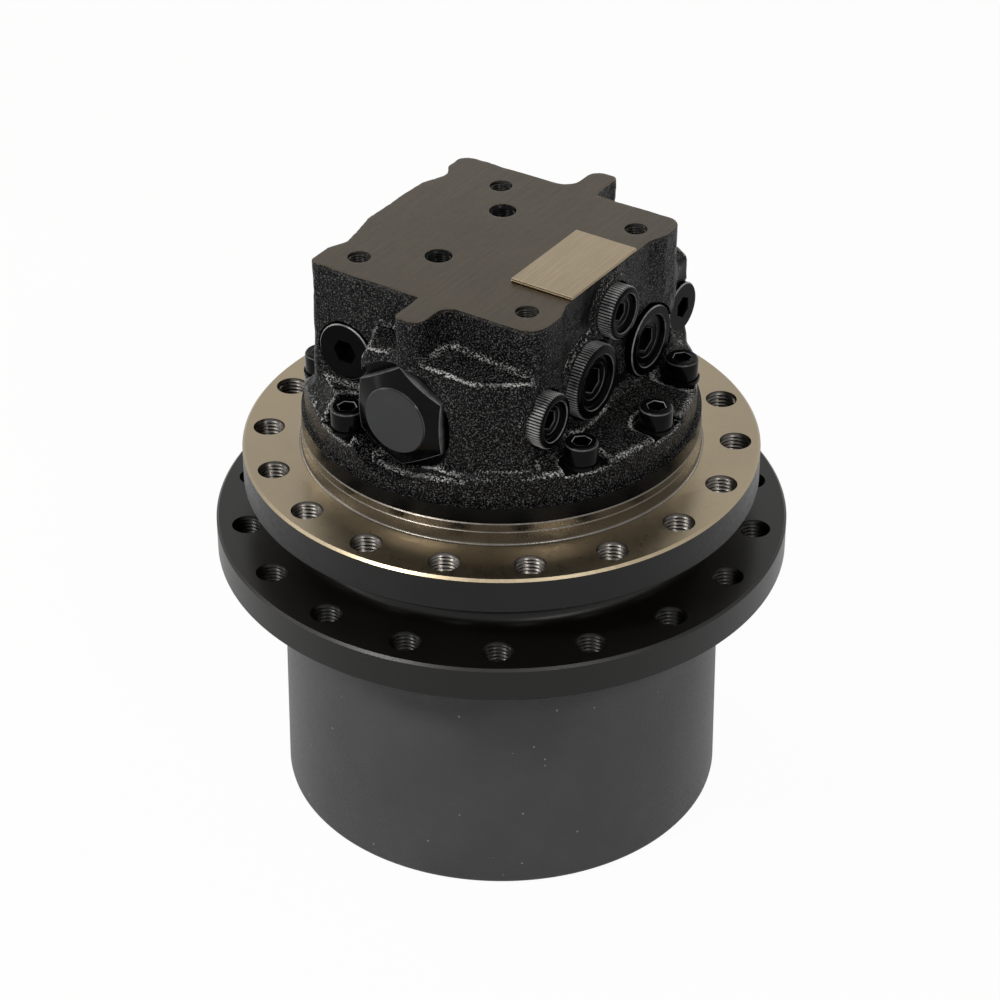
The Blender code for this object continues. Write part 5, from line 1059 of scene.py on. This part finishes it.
def make_screw(index, degrees, materials):
    """Socket head cap screw on its split washer."""
    turn = math.radians(degrees)
    base = SCREW_SEAT + SEAT_GAP
    washer = base + WASHER_HEIGHT
    top = washer + SCREW_HEAD_HEIGHT
    head = SCREW_HEAD_RADIUS
    foot = SCREW_SEAT - SCREW_LENGTH
    socket = hexed(SCREW_SOCKET, turn_angles(SMALL_TURN))
    # Third values: pale rim and socket edges, partly wear and partly painted highlight
    profile = [
        (0.0, foot), (SCREW_RADIUS - 0.0006, foot), (SCREW_RADIUS, foot + 0.0008),
        (SCREW_RADIUS, washer), (head - 0.0003, washer), (head, washer + 0.0004), (head, top - 0.0013),
        (head - 0.0001, top - 0.0010, 0.3), (head - 0.0003, top - 0.0007, 0.3),
        (head - 0.0005, top - 0.0004), (head - 0.0011, top), (socket + 0.00035, top),
        (socket + 0.00030, top, 1.0), (socket + 0.00005, top - 0.0002, 1.0), (socket, top - 0.0003),
        (socket, top - 0.0048), (0.0, top - 0.0060),
    ]
    shell = Shell()
    turned(shell, profile, turn_angles(SMALL_TURN))
    sweep = np.linspace(0, math.tau - WASHER_GAP, SMALL_TURN + 1)
    rise = WASHER_RISE * sweep / math.tau
    low, high = base + rise, washer - 0.0006 + rise
    corners = ((WASHER_BORE, low), (WASHER_RADIUS, low), (WASHER_RADIUS, high), (WASHER_BORE, high))
    strip(shell, [ring(radius, height, sweep) for radius, height in corners], 1)
    place = (SCREW_CIRCLE * math.cos(turn), SCREW_CIRCLE * math.sin(turn), 0.0)
    matrix = Matrix.Translation(place) @ Matrix.Rotation(turn + SCREW_TURN, 4, "Z")
    screw = shell.build(f"cap_screw_{index}_turned", materials, 30, matrix)
    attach(screw, "housing")
    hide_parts(f"cap_screw_{index}")


def make_spool_cap(name, outward, seat, materials):
    """Hexagon cap with a conical chamfer and a raised round face."""
    angles = turn_angles(SMALL_TURN * 2)
    corner = hexed(CAP_FLATS, angles + math.pi / 6)
    cone_edge = CAP_HEIGHT - 0.0012 - np.clip((corner - CAP_CONE_RADIUS) * CAP_CONE_SLOPE, 0.0, None)
    face = CAP_HEIGHT + 0.0005
    # Third values: pale corners and face edge, partly wear and partly painted highlight
    profile = [
        (0.0, -CAP_SHANK_LENGTH), (CAP_SHANK_RADIUS - 0.0003, -CAP_SHANK_LENGTH),
        (CAP_SHANK_RADIUS, 0.0005 - CAP_SHANK_LENGTH), (CAP_SHANK_RADIUS, 0.0), (corner, 0.0),
        (corner, cone_edge, 0.5), (corner - 0.0004, cone_edge + 0.00018),
        (CAP_CONE_RADIUS, CAP_HEIGHT - 0.0011), (CAP_FACE_RADIUS + 0.0003, CAP_HEIGHT - 0.0005),
        (CAP_FACE_RADIUS, CAP_HEIGHT - 0.0001, 0.2), (CAP_FACE_RADIUS - 0.0003, face),
    ]
    shell = Shell()
    turned(shell, profile, angles)
    inner = [(CAP_FACE_RADIUS * share, face) for share in (0.6, 0.3, 0.0)]
    turned(shell, profile[-1:] + inner, angles, 1)
    cap = shell.build(name + "_turned", materials, 25, upright_matrix(outward, (SPOOL_X, seat, SPOOL_Z)))
    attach(cap, "housing")
    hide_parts(name)


def make_top_threads(material, port_material):
    """Threaded linings of the tapped holes and ports in the top face."""
    shell = Shell()
    angles = turn_angles(48)
    top = BLOCK_TOP - 0.0001
    for x, y, radius, depth in TOP_HOLES:
        centre = (x, y)
        port = radius > PORT_RADIUS
        mouth = 0.0014 if port else 0.0009
        bottom = BLOCK_TOP - depth + 0.0005
        inner = threaded_levels(
            radius - 0.0004, top, bottom, angles, centre, TOP_PITCH, TOP_THREAD_DEPTH, mouth
        )
        outer = radius + mouth + 0.0001
        wall = [ring(outer, bottom, angles, centre), ring(outer, top, angles, centre), *inner]
        shell.grid(np.stack(wall), 1 if port else 0, True)
        rim = ring(radius + 0.0001, bottom - 0.0002, angles, centre)
        shell.grid(np.stack([rim, ring(0.0, bottom - 0.0012, angles, centre)]))
    threads = shell.build("top_threads", [material, port_material])
    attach(threads, "housing")


def make_nameplate(materials):
    """Bare plate of two thin brushed layers."""
    low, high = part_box("nameplate")
    middle = (low + high) / 2
    half = (high - low) / 2
    edge = PLATE_EDGE
    shell = Shell()
    for bottom, top, inset in ((low.z, middle.z - edge, 0.0), (middle.z, high.z, PLATE_INSET)):
        levels = []
        for grow, height in ((-edge, bottom), (0, bottom + edge), (0, top - edge), (-edge, top)):
            for sx, sy in SQUARE:
                x = middle.x + sx * (half.x + grow - inset)
                y = middle.y + sy * (half.y + grow - inset)
                levels.append((x, y, height))
        shell.add(levels, np.concatenate([quads(4, 4), [[0, 3, 2, 1], [12, 13, 14, 15]]]))
    plate = shell.build("nameplate_layers", materials, 25)
    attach(plate, "housing")
    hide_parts("nameplate")


def make_bottom(finishes, steel):
    """End cover and its two oil plugs, seen from below."""
    cover = [
        (0.0, 0.0032), (0.0820, 0.0032), (0.0838, 0.0038), (0.0850, 0.0062), (0.0990, 0.0062),
        (COVER_RADIUS, 0.0068), (COVER_RADIUS, 0.0130), (0.0970, 0.0130), (0.0970, 0.0160),
        (COVER_RADIUS, 0.0160), (COVER_RADIUS, 0.0222), (0.0907, 0.0222), (0.0907, 0.0187),
        (0.0, 0.0187),
    ]
    shell = Shell()
    turned(shell, cover, turn_angles(LARGE_TURN))
    made = shell.build("end_cover_turned", finishes)
    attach(made, "drum")
    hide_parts("end_cover")
    angles = turn_angles(SMALL_TURN)
    socket = hexed(0.0100, angles)
    # Third values: pale socket and rim edges, partly wear and partly painted highlight
    plug = [
        (0.0, 0.0081), (socket, 0.0081), (socket, 0.0016), (socket + 0.0006, 0.0010, 0.6),
        (0.0122, 0.0010, 0.8), (0.0130, 0.0017, 0.8), (0.0130, 0.0029), (0.0100, 0.0029),
        (0.0100, 0.0120), (0.0, 0.0120),
    ]
    for index, x in ((1, OIL_PLUG_X), (2, -OIL_PLUG_X)):
        part = Shell()
        turned(part, plug, angles)
        piece = part.build(f"oil_plug_{index}_turned", [steel], 30, Matrix.Translation((x, 0.0, 0.0)))
        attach(piece, "drum")
        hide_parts(f"oil_plug_{index}")


def make_locking_ring(material):
    """Open ring of strip in the drum's groove."""
    low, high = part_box("cover_retaining_ring")
    sweep = np.linspace(LOCK_GAP, math.tau - LOCK_GAP, LARGE_TURN)
    corners = ((LOCK_INNER, low.z), (LOCK_OUTER, low.z), (LOCK_OUTER, high.z), (LOCK_INNER, high.z))
    shell = Shell()
    strip(shell, [ring(radius, height, sweep) for radius, height in corners])
    piece = shell.build("locking_ring", [material], 30)
    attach(piece, "drum")
    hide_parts("cover_retaining_ring")


def node_reach(name, x=0.0, z=None):
    """Least and greatest distance of a node's corners from the drive's axis, or from one along Y."""
    corners = [corner.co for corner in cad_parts[name].data.vertices]
    reach = [math.hypot(c.x - x, c.y if z is None else c.z - z) for c in corners]
    return min(reach), max(reach)


def make_brake_spring(material):
    """Coned disc spring over the brake piston."""
    low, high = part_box("brake_spring")
    inner, outer = node_reach("brake_spring")
    plate = BRAKE_SPRING_PLATE
    profile = [(inner, high.z - plate), (outer, low.z), (outer, low.z + plate), (inner, high.z)]
    shell = Shell()
    turned(shell, profile, turn_angles(LARGE_TURN), 0, True)
    spring = shell.build("brake_spring_turned", [material])
    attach(spring, "housing")
    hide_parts("brake_spring")
    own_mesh(spring)


def make_spool_spring(name, material):
    """Helical spring between the counterbalance spool and a cap."""
    low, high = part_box(name)
    reach = node_reach(name, SPOOL_X, SPOOL_Z)[1]
    sweep = np.linspace(0, math.tau * SPRING_TURNS, 36 * SPRING_TURNS + 1)[:, None]
    around = turn_angles(12)
    out = reach - SPRING_WIRE * (1 - np.cos(around))
    along = np.linspace(low.y + SPRING_WIRE, high.y - SPRING_WIRE, len(sweep))[:, None]
    along = along + SPRING_WIRE * np.sin(around)
    coil = np.stack([SPOOL_X + out * np.cos(sweep), along, SPOOL_Z + out * np.sin(sweep)], -1)
    ends = [np.broadcast_to(row.mean(0), row.shape) for row in (coil[0], coil[-1])]
    shell = Shell()
    shell.grid(np.stack([ends[0], *coil, ends[1]]))
    spring = shell.build(name + "_wound", [material])
    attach(spring, "housing")
    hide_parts(name)
    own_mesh(spring)


def dress_hidden_nodes(finishes):
    """Gives every node that stays its finish."""
    groups = (
        ("bearing", ("bearing", "spring")),
        ("bronze", ("cage", "shoe", "valve_plate")),
        ("lining", ("friction",)),
        ("rubber", ("rubber", "o_ring")),
    )
    for name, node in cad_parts.items():
        chosen = finishes["gear"]
        for finish_name, words in groups:
            if any(word in name for word in words):
                chosen = finishes[finish_name]
        node.data.materials.clear()
        node.data.materials.append(chosen)


def seen_rays(tree):
    """1 for camera, glossy and transmission rays."""
    path = tree.nodes.new("ShaderNodeLightPath").outputs
    direct = maths(tree, "MAXIMUM", path["Is Camera Ray"], path["Is Glossy Ray"])
    return maths(tree, "MAXIMUM", direct, path["Is Transmission Ray"])


def make_studio():
    """Pale floor, white surroundings and soft lamps."""
    world = bpy.data.worlds.new("studio")
    bpy.context.scene.world = world
    world.use_nodes = True
    tree = world.node_tree
    back = tree.nodes["Background"]
    back.inputs["Color"].default_value = (1.0, 1.0, 1.0, 1.0)
    tree.links.new(ranged(tree, seen_rays(tree), 0.0, 1.0, WORLD_LIGHT, 1.0), back.inputs["Strength"])
    pale = bpy.data.materials.new("floor_white")
    pale.use_nodes = True
    tree = pale.node_tree
    tree.nodes.remove(tree.nodes["Principled BSDF"])
    matt = added(tree, "BsdfDiffuse", Color=FLOOR_COLOUR)
    glow = tree.nodes.new("ShaderNodeEmission")
    mix = added(tree, "MixShader", Fac=ranged(tree, seen_rays(tree), 0.0, 1.0, 0.0, FLOOR_WHITE))
    tree.links.new(matt.outputs["BSDF"], mix.inputs[1])
    tree.links.new(glow.outputs["Emission"], mix.inputs[2])
    tree.links.new(mix.outputs["Shader"], tree.nodes["Material Output"].inputs["Surface"])
    corners = [(x * FLOOR_HALF, y * FLOOR_HALF, -FLOOR_GAP) for x, y in SQUARE]
    floor = placed("floor", meshed("floor", np.array(corners), np.arange(4)[None], np.zeros(1), [pale]))
    for name, azimuth, elevation, distance, size, radiance, colour in LAMPS:
        around, up = math.radians(azimuth), math.radians(elevation)
        flat = distance * math.cos(up)
        lamp = bpy.data.lights.new(name, "AREA")
        lamp.shape = "RECTANGLE"
        lamp.size, lamp.size_y = size
        lamp.energy = radiance * math.pi * size[0] * size[1]
        lamp.color = colour
        place = (flat * math.cos(around), flat * math.sin(around), LIT_HEIGHT + distance * math.sin(up))
        placed(name, lamp, place, (0.0, 0.0, LIT_HEIGHT))


def make_camera():
    """The photograph's camera."""
    lens = bpy.data.cameras.new("camera")
    lens.lens = CAMERA_LENS
    lens.sensor_width = 36.0
    lens.shift_x, lens.shift_y = CAMERA_SHIFT
    lens.dof.use_dof = False
    bpy.context.scene.camera = placed("camera", lens, CAMERA_PLACE, CAMERA_TARGET)


bpy.context.scene.view_settings.view_transform = "Standard"
make_camera()
make_studio()

# Casting: painted sheen and painted glints in its base colour, and a painted highlight line along the top
# face's edge
cast_black = finish(
    "cast_black", (0.0010, 0.0010, 0.0012), (0.0020, 0.0020, 0.0020), (0.14, 0.26), specular=0.05,
    grain=950.0, grain_depth=0.00050, fine=380.0, fine_depth=0.00060, wear_and_highlight=(0.10, 0.095, 0.085),
    glints=(1200.0, (0.17, 0.17, 0.17), (0.55, 0.55, 0.54)),
)
top_brushed = finish(
    "top_brushed", (0.073, 0.060, 0.043), (0.062, 0.051, 0.037), (0.30, 0.42), metallic=1.0,
    brushed=900.0, turning_depth=0.00002, patches=12.0,
)
band_black = finish(
    "band_black", (0.003, 0.003, 0.003), (0.005, 0.005, 0.005), (0.20, 0.32), specular=0.06,
    turning=0.0004, upright=True, turning_depth=0.00004,
)
drum_grey = finish(
    "drum_grey", (0.054, 0.055, 0.057), (0.066, 0.067, 0.069), (0.42, 0.54), specular=0.14,
    grain=900.0, grain_depth=0.00022, fine=2600.0, fine_depth=0.00008,
    specks=(260.0, 0.93, (0.25, 0.26, 0.26)),
)
flange_black = finish(
    "flange_black", (0.0042, 0.0037, 0.0030), (0.0055, 0.0050, 0.0042), (0.28, 0.40), specular=0.27,
    grain=1500.0, grain_depth=3e-5, grooves=0.5,
)
inside_steel = finish(
    "inside_steel", (0.05, 0.05, 0.05), (0.08, 0.08, 0.08), (0.30, 0.45), metallic=1.0, grain_depth=3e-5,
)
thread_black = finish(
    "thread_black", (0.010, 0.010, 0.009), (0.020, 0.019, 0.017), (0.24, 0.38), metallic=0.8,
    grain_depth=2e-5,
)
flange_turned = finish(
    "flange_turned", (0.335, 0.275, 0.185), (0.290, 0.240, 0.165), (0.27, 0.36), metallic=1.0,
    turning=0.0005, turning_depth=0.00003, patches=9.0, grooves=0.45,
)
rim_dark = finish(
    "rim_dark", (0.008, 0.008, 0.008), (0.012, 0.012, 0.012), (0.32, 0.44), specular=0.2,
    turning=0.0005, upright=True, turning_depth=0.00003, grooves=0.3,
)
boss_turned = finish(
    "boss_turned", (0.14, 0.127, 0.110), (0.085, 0.078, 0.070), (0.22, 0.34), metallic=1.0,
    turning=0.0005, upright=True, turning_depth=0.00004, grooves=0.5,
)
thread_steel = finish(
    "thread_steel", (0.12, 0.11, 0.10), (0.06, 0.055, 0.05), (0.25, 0.40), metallic=1.0, grain_depth=2e-5,
)
black = ((0.0014, 0.0014, 0.0017), (0.0024, 0.0024, 0.0028), (0.14, 0.24))
# Pale edges of plugs, screws and caps: partly edge wear, partly painted highlight
blued = {"grain": 1800.0, "grain_depth": 0.00001, "wear_and_highlight": (0.42, 0.42, 0.42), "patches": 110.0}
oxide = finish("black_oxide", *black, specular=0.08, **blued)
plug_black = finish("plug_black", *black, specular=0.025, **blued)
cap_satin = finish(
    "cap_satin", (0.042, 0.043, 0.045), (0.034, 0.035, 0.037), (0.34, 0.44), specular=0.12,
    grain=1400.0, grain_depth=0.00001, turning=0.0006, turning_depth=0.00001,
)
plate_brushed = finish(
    "plate_brushed", (0.31, 0.250, 0.165), (0.27, 0.215, 0.145), (0.30, 0.42), metallic=1.0,
    brushed=1400.0, turning_depth=0.00001,
)
hidden = {
    "gear": finish(
        "gear_steel", (0.30, 0.30, 0.31), (0.22, 0.22, 0.23), (0.25, 0.40), metallic=1.0, grain_depth=2e-5,
    ),
    "bearing": finish(
        "bearing_steel", (0.55, 0.55, 0.56), (0.48, 0.48, 0.49), (0.12, 0.22), metallic=1.0,
        grain=2000.0, grain_depth=0.000005,
    ),
    "bronze": finish(
        "bronze", (0.45, 0.30, 0.14), (0.36, 0.23, 0.10), (0.28, 0.42), metallic=1.0, grain_depth=2e-5,
    ),
    "lining": finish(
        "lining", (0.16, 0.12, 0.08), (0.11, 0.085, 0.06), (0.75, 0.9), grain=1200.0, grain_depth=0.0001,
    ),
    "rubber": finish(
        "rubber", (0.012, 0.012, 0.012), (0.018, 0.018, 0.018), (0.5, 0.65), grain=1500.0, grain_depth=3e-5,
    ),
}

PLATE_MAP = distance_map(plate_outline())
dress_hidden_nodes(hidden)
make_drum([drum_grey, flange_black, inside_steel, thread_black])
make_ring_gear(hidden["gear"])
make_frame_flange([flange_turned, rim_dark, boss_turned, thread_steel, inside_steel])
make_block([cast_black, top_brushed, band_black])
make_top_threads(thread_black, band_black)
make_plugs(plug_black)
for number, degrees in enumerate(SCREW_ANGLES, 1):
    make_screw(number, degrees, [oxide, band_black])
front_seat = CAP_RECESS_DEPTH - CAP_BOSS_FRONT - SEAT_GAP
rear_seat = CAP_BOSS_REAR - CAP_RECESS_DEPTH + SEAT_GAP
make_spool_cap("spool_cap_front", (0, -1, 0), front_seat, [oxide, cap_satin])
make_spool_cap("spool_cap_rear", (0, 1, 0), rear_seat, [oxide, cap_satin])
make_nameplate([plate_brushed])
make_bottom([drum_grey], oxide)
make_locking_ring(oxide)
make_brake_spring(hidden["bearing"])
make_spool_spring("spool_spring_front", hidden["bearing"])
make_spool_spring("spool_spring_rear", hidden["bearing"])
